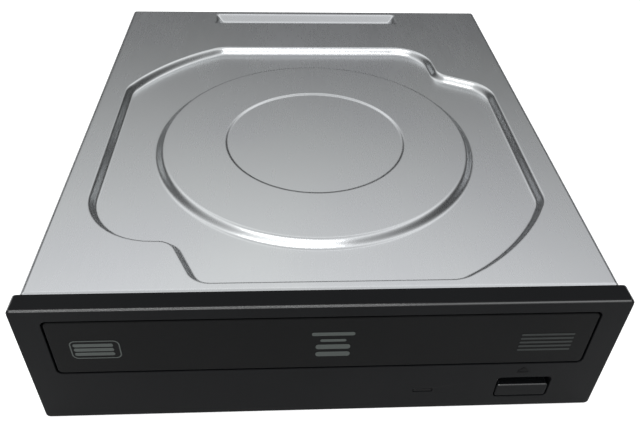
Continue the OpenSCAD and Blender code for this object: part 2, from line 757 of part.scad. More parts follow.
module tray() {
    teeth = floor((tray_y1 - drive_y - 2.5) / (PI * rack_module));
    rack_back = pitch_x - tooth_root * rack_module;
    color(dark) difference() {
        union() {
            along_z(tray_z, rim_z) difference() {
                translate([-tray_w / 2, tray_y0]) square([tray_w, tray_y1 - tray_y0]);
                hub_slot();
            }
            // Front wall that carries the door
            span([-tray_w / 2 + 3, tray_w / 2 - 3], [tray_y0, tray_y0 + 1.9], [tray_z, rim_z + 2.6]);
            // Rack under the left side and a rib under the right
            span([rack_back - 2, rack_back + 0.01], [case_y0 + 5.5, tray_y1], [rack_z, tray_z + 0.5]);
            along_z(rack_z, tray_z + 0.5) translate([pitch_x, 0])
                rack_teeth(rack_module, drive_y, -2.5, teeth + 3);
            span([tray_w / 2 - 7, tray_w / 2 - 5.4], [tray_y0 + 8, tray_y1], [rack_z + 1.4, tray_z + 0.5]);
        }
        // Disc recesses, finger scoops and the lower rear deck
        bar_z(0, disc_y, recess_r, floor_disc_z, rim_z + 9);
        bar_z(0, disc_y, small_r, floor_disc_z - small_h, rim_z);
        both() bar_z(53, disc_y - 44, 15, floor_disc_z, rim_z + 9);
        span([-tray_w / 2 + 4.5, tray_w / 2 - 4.5], [disc_y + 58, tray_y1 + 1], [rim_z - 2, rim_z + 1]);
        // Hollow underside outside the disc floor
        along_z(tray_z - 1, rim_z - 2 - skin) difference() {
            translate([-tray_w / 2 + 3, tray_y0 + 3.5])
                square([tray_w - 6, tray_y1 - tray_y0 - 6.5]);
            translate([0, disc_y]) circle(recess_r + skin);
            translate([-slot_half - skin, disc_y]) square([2 * (slot_half + skin), tray_y1 - disc_y]);
            translate([rack_back - 2.6, tray_y0]) square([6.4, tray_y1 - tray_y0]);
            translate([tray_w / 2 - 7.6, tray_y0]) square([3, tray_y1 - tray_y0]);
            for (y = [disc_y + 74]) translate([-tray_w / 2, y]) square([tray_w, 1.6]);
        }
    }
    // Tabs that hold a disc when the drive stands on its side
    color(dark) for (a = [40, 140, 245, 295]) translate([0, disc_y, 0]) rotate(a)
        span([recess_r - 1.4, recess_r + 1], [-4, 4], [rim_z - 0.9, rim_z]);
}

// Front part of the frame: wall, floor, gear posts and the cam's rail
module frame_front() {
    y1 = cam_y0 - 0.4;
    difference() {
        union() {
            span([-wall_in - 1, wall_in + 1], [frame_y0, frame_y0 + front_wall_t], [pan_t, front_wall_z]);
            span([-wall_in - 1, wall_in + 1], [frame_y0, y1], [floor_z, floor_top]);
            for (x = [28, 50]) bar_z(x, case_y0 + 20, 2, front_board_top, floor_z + 0.5);
            // Cam rail: a floor with two lips
            span([-wall_in - 1, wall_in + 1], [cam_y0 - 1.8, cam_y1 + 1.6], [pan_t, rail_z]);
            for (y = [cam_y0 - 1.8, cam_y1 + web_half_gap])
                span([-56, 56], [y, y + 1.4], [rail_z - 0.1, rail_z + rail_lip]);
        }
        bar_z(motor_x, drive_y, motor_r + 0.2, rail_z, floor_top + 1);
        span([button_x - 3, button_x + 3], [frame_y0 - 1, frame_y0 + front_wall_t + 1],
            [button_z + 1, button_z + button_h + 0.6]);
        span([light_x - light_w / 2 - 0.6, light_x + light_w / 2 + 0.6],
            [frame_y0 - 1, frame_y0 + front_wall_t + 1], [light_z - 1.2, light_z + 1.2]);
        // Windows that lighten the front wall
        for (x = [-50, -34, -18]) span([x, x + 11], [frame_y0 - 1, frame_y0 + front_wall_t + 1],
            [4, 9.6]);
    }
    bar_z(belt_gear_x, drive_y, belt_post_r, floor_z + 0.5, wheel_z + wheel_t + 0.3);
    bar_z(tray_gear_x, drive_y, tray_post_r, floor_z + 0.5, tray_z - 0.3);
}

// One side of the frame, right half
module frame_side() {
    span([wall_in, wall_out], [frame_y0, frame_y1], [pan_t, bridge_z]);
    span([foot_in, wall_out], [frame_y0, frame_y1], [pan_t, foot_z]);
    span([wall_in - runner_w, wall_in + 0.1], [frame_y0, frame_y1], [runner_z - 2, runner_z]);
    // Ribs under the runner
    for (y = [40, 62, 84, 106, 128]) span([wall_in - runner_w + 0.6, wall_in + 0.1],
        [case_y0 + y, case_y0 + y + 1.6], [runner_z - 6, runner_z - 1.9]);
    // Tabs that hold the tray down
    for (y = [6, 40, 104]) span([wall_in - runner_w + 0.8, wall_in + 0.1],
        [case_y0 + y, case_y0 + y + 12], [rim_z + 0.3, rim_z + 1.9]);
    // Outer ribs
    for (y = [22, 34, 66, 94, 110, 142]) span([wall_out - 0.1, wall_out + 2.2],
        [case_y0 + y, case_y0 + y + 1.6], [pan_t + pan_lip, bridge_z - 2]);
    for (s = [-1, 1]) bar_z(bridge_screw_x, disc_y + s * bridge_screw_y, 2.6, tray_z, bridge_z);
    for (y = screw_rows) {
        bar_z(screw_x_case, y, 3, dimple_h + pan_t, 8);
        span([screw_x_case, wall_in + 0.1], [y - 1, y + 1], [dimple_h + pan_t, 8]);
    }
}

module main_frame() {
    bracket_l = [pivot_ears[0][0] - 6.5, pivot_ears[0][0] - 3];
    bracket_r = [pivot_ears[1][1] + 3, wall_in + 0.1];
    bracket_z = [board_top + can_h + 0.4, 16.8];
    color(black) difference() {
        union() {
            both() frame_side();
            frame_front();
            // Rear beam over the main board
            span([-wall_in - 1, wall_in + 1], [frame_y1 - 5, frame_y1], [14.5, 16.5]);
            span([-wall_in - 1, wall_in + 1], [frame_y1 - 5, frame_y1 - 3.4], [13.6, 20]);
            // Pivot brackets of the lift frame
            span(bracket_l, [pivot_y - 4, pivot_y + 4], bracket_z);
            span([-wall_in - 0.1, bracket_l[1]], [pivot_y - 1, pivot_y + 1], bracket_z);
            span(bracket_r, [pivot_y - 4, pivot_y + 4], bracket_z);
        }
        bar_x(pivot_y, pivot_z, pivot_r + run, bracket_l[0] - 1, bracket_l[1] + 1);
        bar_x(pivot_y, pivot_z, pivot_r + run, bracket_r[0] - 1, wall_in);
        both() {
            // Room for the bottom cover's screw dimples and thread collars
            for (y = screw_rows) {
                bar_z(screw_x_case, y, dimple_r + pan_t + 0.3, -1, dimple_h + pan_t);
                bar_z(screw_x_case, y, 1.5 + run, 0, 7.4);
            }
            for (s = [-1, 1]) bar_z(bridge_screw_x, disc_y + s * bridge_screw_y, 1.2 + run,
                bridge_z - 5, bridge_z + 1);
            // Windows for the front panel's hooks
            for (z = clip_rows) span([wall_in - 0.1, wall_out + 0.1], [case_y0 + 6.7, case_y0 + 9.1],
                z + [-0.3, 0.3]);
            for (y = [0, 1]) bar_z(board_screw_x, board_screw_y[y], 1.2 + run, pan_t + 0.1, foot_z + 1);
        }
        // The front ribbon's way over the cam rail
        span(ribbon_x + [-0.3, 0.3], [cam_y0 - 3, cam_y1 + 3], [rail_z, rail_z + 2]);
    }
}

board_screw_x = wall_in - 5.4;
board_screw_y = [board_y0 + 14, board_y0 + 60];

module clamp_bridge() {
    y = [disc_y - bridge_w / 2, disc_y + bridge_w / 2];
    x = bridge_screw_x + 2.6;
    z1 = bridge_z + bridge_t;
    color(bright_steel) difference() {
        union() {
            span([-x, x], y, [bridge_z, z1]);
            span([-58, 58], [y[0], y[0] + bridge_t], [bridge_z, z1 + 2.4]);
            span([-58, 58], [y[1] - bridge_t, y[1]], [bridge_z, z1 + 2.4]);
        }
        bar_z(0, disc_y, puck_r + 0.8, bridge_z - 1, z1 + 1);
        both() {
            for (s = [-1, 1]) bar_z(bridge_screw_x, disc_y + s * bridge_screw_y, 1.4, bridge_z - 1, z1 + 1);
            along_z(bridge_z - 1, z1 + 1) slot([32, disc_y - 9], [32, disc_y + 9], 4);
            bar_z(48, disc_y, 5, bridge_z - 1, z1 + 1);
        }
    }
}

module clamp_puck() {
    cavity_z = cone_z + 3.2;
    color(black) translate([0, disc_y, 0]) difference() {
        rotate_extrude() polygon([[0, puck_z + 0.4], [puck_r - 3.4, puck_z + 0.4],
            [puck_r - 3, puck_z], [puck_r, puck_z], [puck_r, flange_z],
            [puck_flange_r, flange_z], [puck_flange_r, flange_z + 1], [puck_r - 1.4, flange_z + 1],
            [puck_r - 2.6, flange_z + 2], [3, flange_z + 2], [2.4, flange_z + 1.4],
            [0, flange_z + 1.4]]);
        bar_z(0, 0, cone_r + 0.8, puck_z - 1, cavity_z);
        for (a = [0 : 60 : 300]) rotate(a) bar_z(10.6, 0, 1, flange_z + 1.2, flange_z + 3);
    }
}

module clamp_magnet() {
    color(bright_steel) translate([0, disc_y, 0]) difference() {
        bar_z(0, 0, cone_r + 0.8, cone_z + 0.8, cone_z + 3.2);
        bar_z(0, 0, 2.5, cone_z, cone_z + 4);
    }
}

module loading_motor() {
    z1 = floor_top - 0.2;
    color(bright_steel) translate([motor_x, drive_y, 0]) difference() {
        union() {
            bar_z(0, 0, motor_r, z1 - motor_l + 1, z1);
            bar_z(0, 0, motor_r - 3, z1 - motor_l, z1);
            bar_z(0, 0, 2.6, z1 - 1, z1 + 0.35);
        }
        bar_z(0, 0, 1 + run, z1 - 4, z1 + 1);
        for (a = [0, 180]) rotate(a) bar_z(6, 0, 1, z1 - 3, z1 + 1);
    }
}

module motor_shaft() {
    color(bright_steel) bar_z(motor_x, drive_y, 1, floor_top - 3, pulley_z + pulley_t + 0.6);
}

// A belt wheel by its section: two flanges and a groove
module pulley(groove_r, bore_r, z0) {
    r = groove_r + belt_t + 0.1;
    t = pulley_t;
    edge = 0.4;
    rotate_extrude() polygon([[bore_r, z0], [r, z0], [r, z0 + edge], [groove_r, z0 + edge + 0.05],
        [groove_r, z0 + t - edge - 0.05], [r, z0 + t - edge], [r, z0 + t], [bore_r, z0 + t]]);
}

module motor_pulley() {
    color(white_resin) translate([motor_x, drive_y, 0]) pulley(motor_groove_r, 1, pulley_z);
}

module drive_belt() {
    r = [wheel_groove_r + 0.02, motor_groove_r + 0.02];
    lean = acos((r[0] - r[1]) / (motor_x - belt_gear_x));
    reach = (motor_x - belt_gear_x) * sin(lean);
    size = [belt_t, 1.1];
    straight = [size[0] - 0.02, reach + 0.4, size[1]];
    color(rubber) translate([0, drive_y, pulley_z + (pulley_t - size[1]) / 2]) {
        translate([belt_gear_x, 0, 0]) {
            rotate(lean) rotate_extrude(angle = 360 - 2 * lean) translate([r[0], 0]) square(size);
            rotate(lean) translate([r[0] + 0.01, -reach - 0.2, 0]) cube(straight);
            rotate(-lean) translate([r[0] + 0.01, -0.2, 0]) cube(straight);
        }
        translate([motor_x, 0, 0]) rotate(-lean)
            rotate_extrude(angle = 2 * lean) translate([r[1], 0]) square(size);
    }
}

// Involute of an angle in degrees, as a ratio
function involute(a) = tan(a) - a * PI / 180;

// Half the angle that a tooth fills at radius r
function half_tooth(m, teeth, r) =
    let (pitch_r = m * teeth / 2, base_r = pitch_r * cos(20), a = acos(min(1, base_r / r)))
    90 / teeth + (involute(20) - involute(a) - tooth_slack / 2 / pitch_r) * 180 / PI;

// Outline of a spur gear with a tooth on +X
module gear_outline(m, teeth) {
    tip = m * (teeth / 2 + tooth_top);
    root = m * (teeth / 2 - tooth_root);
    start = max(root, m * teeth / 2 * cos(20) + 0.01);
    flank = [for (i = [0 : 3]) let (r = start + (tip - start) * i / 3) [r, half_tooth(m, teeth, r)]];
    right = concat([[root, flank[0][1]]], flank);
    tooth = concat([for (p = right) [p[0], -p[1]]], [for (i = [4 : -1 : 0]) right[i]]);
    polygon([for (t = [0 : teeth - 1]) for (p = tooth)
        let (a = p[1] + t * 360 / teeth) p[0] * [cos(a), sin(a)]]);
}

module belt_gear() {
    color(white_resin) translate([belt_gear_x, drive_y, 0]) difference() {
        union() {
            pulley(wheel_groove_r, belt_post_r + run, pulley_z);
            along_z(pulley_z + pulley_t - 0.1, wheel_z + wheel_t) rotate(180 / small_teeth)
                gear_outline(gear_module, small_teeth);
        }
        bar_z(0, 0, belt_post_r + run, pulley_z - 1, wheel_z + wheel_t + 1);
        for (a = [0 : 60 : 300]) rotate(a + 30) bar_z(6.6, 0, 1.3, pulley_z - 1, pulley_z + pulley_t + 1);
    }
}

module tray_gear() {
    color(white_resin) translate([tray_gear_x, drive_y, 0]) difference() {
        union() {
            along_z(wheel_z, wheel_z + wheel_t) gear_outline(gear_module, wheel_teeth);
            bar_z(0, 0, tray_post_r + 1.6, floor_top + 0.2, wheel_z + 0.1);
            along_z(wheel_z + wheel_t - 0.1, tray_z - 0.4) rotate(pinion_teeth % 2 * 180 / pinion_teeth)
                gear_outline(rack_module, pinion_teeth);
        }
        bar_z(0, 0, tray_post_r + run, floor_top - 1, tray_z);
    }
}

module cam_slider() {
    rest = [lift_x[0] + 4, 34];
    teeth_y = drive_y + wheel_rp + tooth_top * gear_module + 0.4 + tooth_top * gear_module;
    slot_r = lift_pin_r + 0.2;
    low_z = pivot_z - pin_drop;
    color(white_resin) {
        along_y(cam_y0, cam_y1) difference() {
            translate([rest[0], rail_z + 0.2])
                square([rest[1] - rest[0], wheel_z + wheel_t - rail_z - 0.4]);
            for (x = pin_xs) {
                slot([x, pivot_z], [x - cam_travel, low_z], slot_r);
                slot([x, pivot_z], [x + 1.6, pivot_z], slot_r);
                slot([x - cam_travel, low_z], [x - cam_travel - 1.6, low_z], slot_r);
            }
            translate([-10, 11]) square([11, 4]);
            translate([rest[1] - 5, 4]) square([3, 8]);
        }
        // Toothed edge beside the large wheel
        span([tray_gear_x - 12, rest[0] + 10], [teeth_y + 0.8, cam_y1],
            [wheel_z + 0.1, wheel_z + wheel_t - 0.2]);
        along_z(wheel_z + 0.1, wheel_z + wheel_t - 0.2) translate([tray_gear_x - 9.5, teeth_y])
            rotate(-90) rack_teeth(gear_module, 0, 0, 9);
    }
}

module lift_frame() {
    color(black) {
        difference() {
            span(lift_x, [lift_y0, lift_y1], [lift_z, lift_top]);
            span(lift_x + [lift_bar, -lift_bar], [lift_y0 + lift_bar - 0.2, lift_y1 - 5],
                [lift_z - 1, lift_top + 1]);
            for (x = damper_xs, y = damper_ys) bar_z(x, y, 1.2 + run, lift_z + 0.8, lift_top + 1);
            // Grooves that lighten the bars from below
            for (x = damper_xs) span([x - 2, x + 2], [damper_ys[0] + 6, damper_ys[1] - 6],
                [lift_z - 1, lift_top - 1.2]);
        }
        for (x = pin_xs) {
            bar_y(x, pivot_z, lift_pin_r, cam_y0 + 0.2, lift_y0 + 0.1);
            bar_y(x, pivot_z, lift_pin_r + 0.2, cam_y1 + 0.5, lift_y0 + 0.1);
        }
        for (ear = pivot_ears) along_x(ear[0], ear[1]) {
            translate([pivot_y, pivot_z]) circle(lift_t / 2 + 0.8);
            translate([lift_y1 - 0.1, lift_z]) square([pivot_y - lift_y1 + 0.1, lift_t]);
        }
        bar_x(pivot_y, pivot_z, pivot_r, pivot_ears[0][0] - 6.2, pivot_ears[0][0] + 0.1);
        bar_x(pivot_y, pivot_z, pivot_r, pivot_ears[1][1] - 0.1, pivot_ears[1][1] + 5.6);
    }
}

module deck_plate() {
    color(bright_steel) difference() {
        union() {
            span(deck_x, deck_y, [deck_z, deck_top]);
            for (x = damper_xs, y = damper_ys) {
                bar_z(x, y, 3.6, deck_z, deck_top);
                edge = x < 0 ? deck_x[0] : deck_x[1];
                span([min(x, edge), max(x, edge)], [y - 3.6, y + 3.6], [deck_z, deck_top]);
            }
            for (x = [deck_x[0], deck_x[1] - deck_t]) span([x, x + deck_t],
                [damper_ys[0] + 8, damper_ys[1] - 8], [deck_z, deck_top + 2]);
        }
        span(window_x, window_y, [deck_z - 1, deck_top + 1]);
        span([screw_x - sled_motor_r - 0.5, window_x[1]], [sled_motor_y[0] - 0.6, window_y[0] + 1],
            [deck_z - 1, deck_top + 1]);
        bar_z(0, disc_y, rotor_r + 0.6, deck_z - 1, deck_top + 1);
        for (x = damper_xs, y = damper_ys) bar_z(x, y, waist_r + 0.1, deck_z - 1, deck_top + 1);
        for (x = [-24, 24]) bar_z(x, disc_y - 17, 3.4, deck_z - 1, deck_top + 1);
    }
}

module dampers() {
    color(rubber) for (x = damper_xs, y = damper_ys) translate([x, y, 0]) rotate_extrude()
        polygon([[1.3, lift_top], [damper_r, lift_top], [damper_r, deck_z], [waist_r, deck_z],
            [waist_r, deck_top], [damper_r, deck_top], [damper_r - 0.3, deck_top + 1.2],
            [1.3, deck_top + 1.2]]);
}

// A pan-head screw, head upwards, with a cross recess
module screw(r, head_r, head_h, z_tip, z_seat) {
    difference() {
        union() {
            bar_z(0, 0, r, z_tip, z_seat + 0.1);
            translate([0, 0, z_seat]) rotate_extrude() polygon([[0, 0], [head_r, 0],
                [head_r, head_h * 0.5], [head_r * 0.72, head_h], [0, head_h]]);
        }
        for (a = [0, 90]) rotate(a) span([-head_r * 0.5, head_r * 0.5], [-0.22, 0.22],
            [z_seat + head_h * 0.4, z_seat + head_h + 1]);
    }
}

module damper_screws() {
    color(bright_steel) for (x = damper_xs, y = damper_ys) translate([x, y, 0])
        screw(1.2, 2.7, 1, lift_z + 1, deck_top + 1.2);
}

module guide_rod(x) {
    color(bright_steel) bar_y(x, rod_z, rod_r, rod_y[0], rod_y[1]);
}

module guide_rod_left() {
    guide_rod(-rod_x);
}

module guide_rod_right() {
    guide_rod(rod_x);
}

module rod_clips() {
    seats = [[rod_y[0] + 0.5, rod_y[0] + 4], [window_y[1] + 0.3, rod_y[1] - 0.3]];
    color(black) for (x = [-rod_x, rod_x], y = seats) difference() {
        union() {
            span([x - 2.6, x + 2.2], y, [deck_top, rod_z]);
            bar_y(x, rod_z, rod_r + 0.9, y[0], y[1]);
        }
        bar_y(x, rod_z, rod_r + 0.02, y[0] - 1, y[1] + 1);
        span([x - 4, x + 4], y + [-1, 1], [deck_top - 2, deck_top]);
    }
}

module sled_motor() {
    y0 = sled_motor_y[0];
    y1 = sled_motor_y[1];
    color(bright_steel) difference() {
        union() {
            bar_y(screw_x, screw_z, sled_motor_r, y0, y1 - 0.3);
            bar_y(screw_x, screw_z, 2.4, y1 - 1, y1);
            span([screw_x - 3, screw_x + 3], [y0 + 2, y1 - 2], [screw_z - sled_motor_r - 0.4, screw_z]);
        }
        bar_y(screw_x, screw_z, screw_r - 0.5 + run, y1 - 4, y1 + 1);
    }
}

module screw_bracket() {
    y_front = sled_motor_y[1];
    y_rear = window_y[1] - 2.6;
    x0 = screw_x - sled_motor_r;
    foot = [window_x[1] + 0.2, deck_x[1] - deck_t - 0.1];
    z = [screw_z - 4, screw_z + 4.2];
    color(bright_steel) difference() {
        union() {
            span(foot, [y_front - 10, y_rear + bracket_t], [deck_top, deck_top + bracket_t]);
            span([x0, foot[1]], [y_front, y_front + bracket_t], [deck_top, z[1]]);
            span([x0, foot[0] - 0.5], [y_front, y_front + bracket_t], z);
            span([screw_x - 3, foot[1]], [y_rear, y_rear + bracket_t], [deck_top, z[1]]);
            span([screw_x - 3, foot[0] - 0.5], [y_rear, y_rear + bracket_t], z);
        }
        bar_y(screw_x, screw_z, screw_r - 0.5 + run, y_front - 1, y_rear + 2);
        for (y = [y_front - 6, y_rear - 12]) bar_z((foot[0] + foot[1]) / 2, y, 1,
            deck_top - 1, deck_top + 2);
    }
}

module lead_screw() {
    y_front = sled_motor_y[1];
    y_rear = window_y[1] - 2.6;
    color(bright_steel) {
        bar_y(screw_x, screw_z, screw_r, y_front + bracket_t + 0.3, y_rear - 0.3);
        bar_y(screw_x, screw_z, screw_r - 0.5, y_front - 3, y_rear + bracket_t + 0.6);
    }
}

module pickup_body() {
    wing_z = [rod_z - 3, rod_z + 3];
    color([0.35, 0.36, 0.38]) difference() {
        union() {
            span([-sled_half, sled_half], sled_y, sled_z);
            span([-wing_half, -sled_half + 0.1], [sled_y[0] + 2, sled_y[1] - 1], wing_z);
            span([sled_half - 0.1, wing_half], [sled_y[0] + 8, sled_y[1] - 4], wing_z);
        }
        // Hollow front that clears the spindle motor
        bar_z(0, disc_y, table_r + 1.2, sled_z[0] - 1, sled_z[1] + 1);
        bar_y(-rod_x, rod_z, rod_r + run, sled_y[0], sled_y[1]);
        span([rod_x - 2.4, wing_half + 1], sled_y, [rod_z, rod_z] + (rod_r + run) * [-1, 1]);
        // Wells for the lens drive and the optics
        span([-well[0], well[0]], [well[1], well[2]], [well_z, sled_z[1] + 1]);
        span([-sled_half + 2, -well[0] - 2], [sled_y[0] + 6, sled_y[1] - 2], [sled_z[1] - 3, sled_z[1] + 1]);
        span([well[0] + 2, sled_half - 2], [sled_y[0] + 6, sled_y[1] - 2], [sled_z[1] - 3, sled_z[1] + 1]);
        span([-sled_half + 2, sled_half - 2], [sled_y[0] + 9, sled_y[1] - 2], [sled_z[0] - 1, sled_z[0] + 2]);
    }
}

module pickup_shield() {
    color(bright_steel) difference() {
        span([-sled_half + 0.6, sled_half - 0.6], [sled_y[0] + 3, sled_y[1] - 0.4],
            [sled_z[1], sled_z[1] + 0.4]);
        bar_z(0, disc_y, table_r + 2, sled_z[1] - 1, sled_z[1] + 1);
        span([-well[0], well[0]], [well[1] - 4, well[2] - 1], [sled_z[1] - 1, sled_z[1] + 1]);
    }
}

module actuator_yoke() {
    color(bright_steel) {
        span([-7, 7], [lens_y - 6.2, lens_y + 6.2], [well_z, well_z + 0.6]);
        for (y = [lens_y - 6.2, lens_y + 5.4]) span([-6, 6], [y, y + 0.8], [well_z + 0.5, sled_z[1] - 0.4]);
    }
}

module actuator_magnets() {
    color(dark) for (y = [lens_y - 5.4, lens_y + 4.2])
        span([-5.4, 5.4], [y, y + 1.2], [well_z + 0.6, sled_z[1] - 0.8]);
}

module screw_follower() {
    y = [sled_y[0] + 10, sled_y[0] + 16];
    color(white_resin) difference() {
        union() {
            span([wing_half, screw_x - screw_r + 0.4], y, [screw_z - 1.8, rod_z + 3]);
            span([wing_half - 3, wing_half + 0.1], y, [rod_z + 3, rod_z + 3.6]);
        }
        bar_y(screw_x, screw_z, screw_r + run, y[0] - 1, y[1] + 1);
    }
}

module lens_holder() {
    z = [well_z + 1.5, disc_z - 2];
    color(black) difference() {
        span([-7.4, 7.4], [lens_y - 2.7, lens_y + 2.7], z);
        bar_z(0, lens_y, lens_r - 0.3, z[0] - 1, z[1] + 1);
        bar_z(0, lens_y, lens_r + 0.02, z[1] - 1, z[1] + 1);
    }
}

module focus_coil() {
    z = [well_z + 2.1, well_z + 4.3];
    color(copper) difference() {
        span([-7.9, 7.9], [lens_y - 3.3, lens_y + 3.3], z);
        span([-7.4, 7.4], [lens_y - 2.7, lens_y + 2.7], z + [-1, 1]);
    }
}

module objective_lens() {
    z = disc_z - 3;
    dome_r = 3;
    color([0.7, 0.75, 0.9]) {
        bar_z(0, lens_y, lens_r, z, z + 1);
        translate([0, lens_y, z + 1]) intersection() {
            translate([0, 0, -sqrt(dome_r * dome_r - lens_r * lens_r)]) sphere(dome_r);
            cylinder(r = lens_r, h = dome_r);
        }
    }
}

module spindle_base() {
    color(bright_steel) difference() {
        union() {
            along_z(base_z, deck_z) translate([0, disc_y - 2.8]) rounded_rect(42, 30, 5);
            bar_z(0, disc_y, bearing_r, base_z, stator_z[1] - 0.8);
        }
        bar_z(0, disc_y, shaft_r + run, base_z + 0.4, rotor_z[1]);
        for (p = spindle_screw_at) bar_z(p[0], p[1], 1 + run, base_z - 1, deck_z + 1);
    }
}

spindle_screw_at = [[-18, disc_y - 13], [18, disc_y - 13], [-18, disc_y + 5]];

module spindle_screws() {
    color(bright_steel) for (p = spindle_screw_at) translate([p[0], p[1], 0])
        mirror([0, 0, 1]) screw(1, 1.9, 0.8, -deck_z, -base_z);
}

module spindle_stator() {
    arm_r = rotor_r - rotor_wall - magnet_t - 0.3;
    color(copper) translate([0, disc_y, 0]) difference() {
        intersection() {
            union() {
                bar_z(0, 0, 6.4, stator_z[0], stator_z[1]);
                for (a = [0 : 40 : 320]) rotate(a) {
                    span([5, arm_r], [-1, 1], [stator_z[0] + 0.6, stator_z[1] - 0.6]);
                    span([7.2, arm_r - 1.8], [-1.7, 1.7], stator_z);
                    span([arm_r - 1.2, arm_r + 1], [-3, 3], [stator_z[0] + 0.6, stator_z[1] - 0.6]);
                }
            }
            bar_z(0, 0, arm_r, stator_z[0], stator_z[1]);
        }
        bar_z(0, 0, bearing_r + 0.02, stator_z[0] - 1, stator_z[1] + 1);
    }
}

module spindle_rotor() {
    inner = rotor_r - rotor_wall;
    color(bright_steel) translate([0, disc_y, 0]) rotate_extrude() polygon([
        [0, base_z + 0.6], [shaft_r, base_z + 0.6], [shaft_r, rotor_z[1] - 0.9],
        [inner, rotor_z[1] - 0.9], [inner, rotor_z[0]], [rotor_r, rotor_z[0]],
        [rotor_r, rotor_z[1] - 0.5], [rotor_r - 0.5, rotor_z[1]], [shaft_r, rotor_z[1]],
        [shaft_r, disc_z], [0, disc_z]]);
}

module rotor_magnet() {
    inner = rotor_r - rotor_wall;
    color(dark) translate([0, disc_y, 0]) difference() {
        bar_z(0, 0, inner, rotor_z[0] + 0.3, rotor_z[1] - 1.2);
        bar_z(0, 0, inner - magnet_t, rotor_z[0] - 1, rotor_z[1]);
    }
}

module turntable() {
    color(black) translate([0, disc_y, 0]) difference() {
        rotate_extrude() polygon([[shaft_r, rotor_z[1]], [table_r - 1, rotor_z[1]],
            [table_r, rotor_z[1] + 1], [table_r, seat_z], [cone_r + 1.4, seat_z],
            [cone_r + 1, seat_z - 0.6], [cone_r, seat_z - 0.6], [cone_r, disc_z + 0.6],
            [cone_r - 1.6, cone_z], [shaft_r + 1, cone_z], [shaft_r + 1, cone_z - 1.4],
            [shaft_r, cone_z - 1.4]]);
        for (a = [0 : 120 : 240]) rotate(a + 30)
            span([cone_r - 2.2, cone_r + 0.6], [-0.5, 0.5], [seat_z - 0.4, cone_z + 1]);
    }
}

module turntable_pad() {
    color(rubber) translate([0, disc_y, 0]) difference() {
        bar_z(0, 0, table_r - 0.3, seat_z, disc_z);
        bar_z(0, 0, table_r - 3, seat_z - 1, disc_z + 1);
    }
}

module main_board() {
    notch = [board_w / 2 - 6, board_w / 2 + 1];
    color(board_green) difference() {
        span([-board_w / 2, board_w / 2], [board_y0, board_y1], [board_z, board_top]);
        both() {
            span(notch, [board_y1 - 11, board_y1 + 1], [board_z - 1, board_top + 1]);
            for (y = board_screw_y) bar_z(board_screw_x, y, 1.5, board_z - 1, board_top + 1);
        }
        span([-20, 20], [board_y0 - 1, board_y0 + 3], [board_z - 1, board_top + 1]);
    }
}

// A flat chip with leads down two or four sides
module chip(x, y, w, l, h, four) {
    z = board_top;
    span([x - w / 2, x + w / 2], [y - l / 2, y + l / 2], [z, z + h]);
    span([x - w / 2 - 1, x + w / 2 + 1], [y - l / 2 + 1, y + l / 2 - 1], [z, z + 0.2]);
    if (four) span([x - w / 2 + 1, x + w / 2 - 1], [y - l / 2 - 1, y + l / 2 + 1], [z, z + 0.2]);
}

module board_chips() {
    color(rubber) {
        chip(-16, board_y0 + 30, 20, 20, 1.3, true);
        chip(18, board_y0 + 24, 12, 12, 1.1, true);
        chip(-43, board_y0 + 16, 10, 20, 1, false);
        chip(-40, board_y0 + 42, 8, 6, 1.2, false);
        chip(10, board_y0 + 52, 9, 7, 1.2, false);
    }
}

module capacitors() {
    color(bright_steel) for (p = [[-55, 34], [-55, 44], [50, 62.2], [4, 68], [-6, 68]])
        translate([p[0], board_y0 + p[1], board_top]) {
            cylinder(r = 3.1, h = can_h);
            span([-3.3, 3.3], [-3.3, 3.3], [0, 0.8]);
        }
}

// A flat ribbon socket with its lid
module ribbon_socket(x0, x1, y0, y1, z0, h) {
    span([x0, x1], [y0 + 1, y1], [z0, z0 + h]);
    span([x0 + 0.8, x1 - 0.8], [y0, y0 + 1.1], [z0, z0 + h * 0.45]);
}

module board_sockets() {
    color(white_resin) {
        ribbon_socket(-19, 13, board_y0 + 4, board_y0 + 8.6, board_top, 1.9);
        ribbon_socket(24, 34, board_y0 + 4, board_y0 + 8.6, board_top, 1.9);
        span([ribbon_x[0] - 0.8, ribbon_x[1] + 0.8], [board_y0 + 4.6, board_y0 + 8],
            [board_top, board_top + 1.6]);
        span([-34, -25], [board_y1 - 9, board_y1 - 4], [board_top, board_top + 4.4]);
    }
}

// One keyed socket of the connector, open to the rear, with its L-shaped tongue
module keyed_socket(x, w, y1) {
    z = board_top + plug_h / 2;
    difference() {
        span([x - w / 2, x + w / 2], [y1 - 6.4, y1 + 1], [z - 2.2, z + 2.2]);
        span([x - w / 2 + 1.2, x + w / 2 - 1.2], [y1 - 7, y1 - 0.8], [z - 0.6, z + 0.6]);
        span([x + w / 2 - 2.4, x + w / 2 - 1.2], [y1 - 7, y1 - 0.8], [z - 1.5, z + 0.6]);
    }
}

module sata_connector() {
    y1 = case_y1 - 0.1;
    z1 = board_top + plug_h;
    color(black) difference() {
        union() {
            span([plug_x - plug_w / 2, plug_x + plug_w / 2], [y1 - plug_d, y1], [board_top, z1]);
            span([plug_x - plug_w / 2 + 3, plug_x + plug_w / 2 - 3], [y1 - plug_d, board_y1 - 0.1],
                [board_top, z1]);
        }
        keyed_socket(plug_x - plug_w / 2 + 8, 11.6, y1);
        keyed_socket(plug_x + plug_w / 2 - 12.6, 21.8, y1);
    }
}

module board_screws() {
    color(bright_steel) both() for (y = board_screw_y) translate([board_screw_x, y, 0])
        screw(1.2, 2.4, 0.9, pan_t + 0.2, board_top);
}

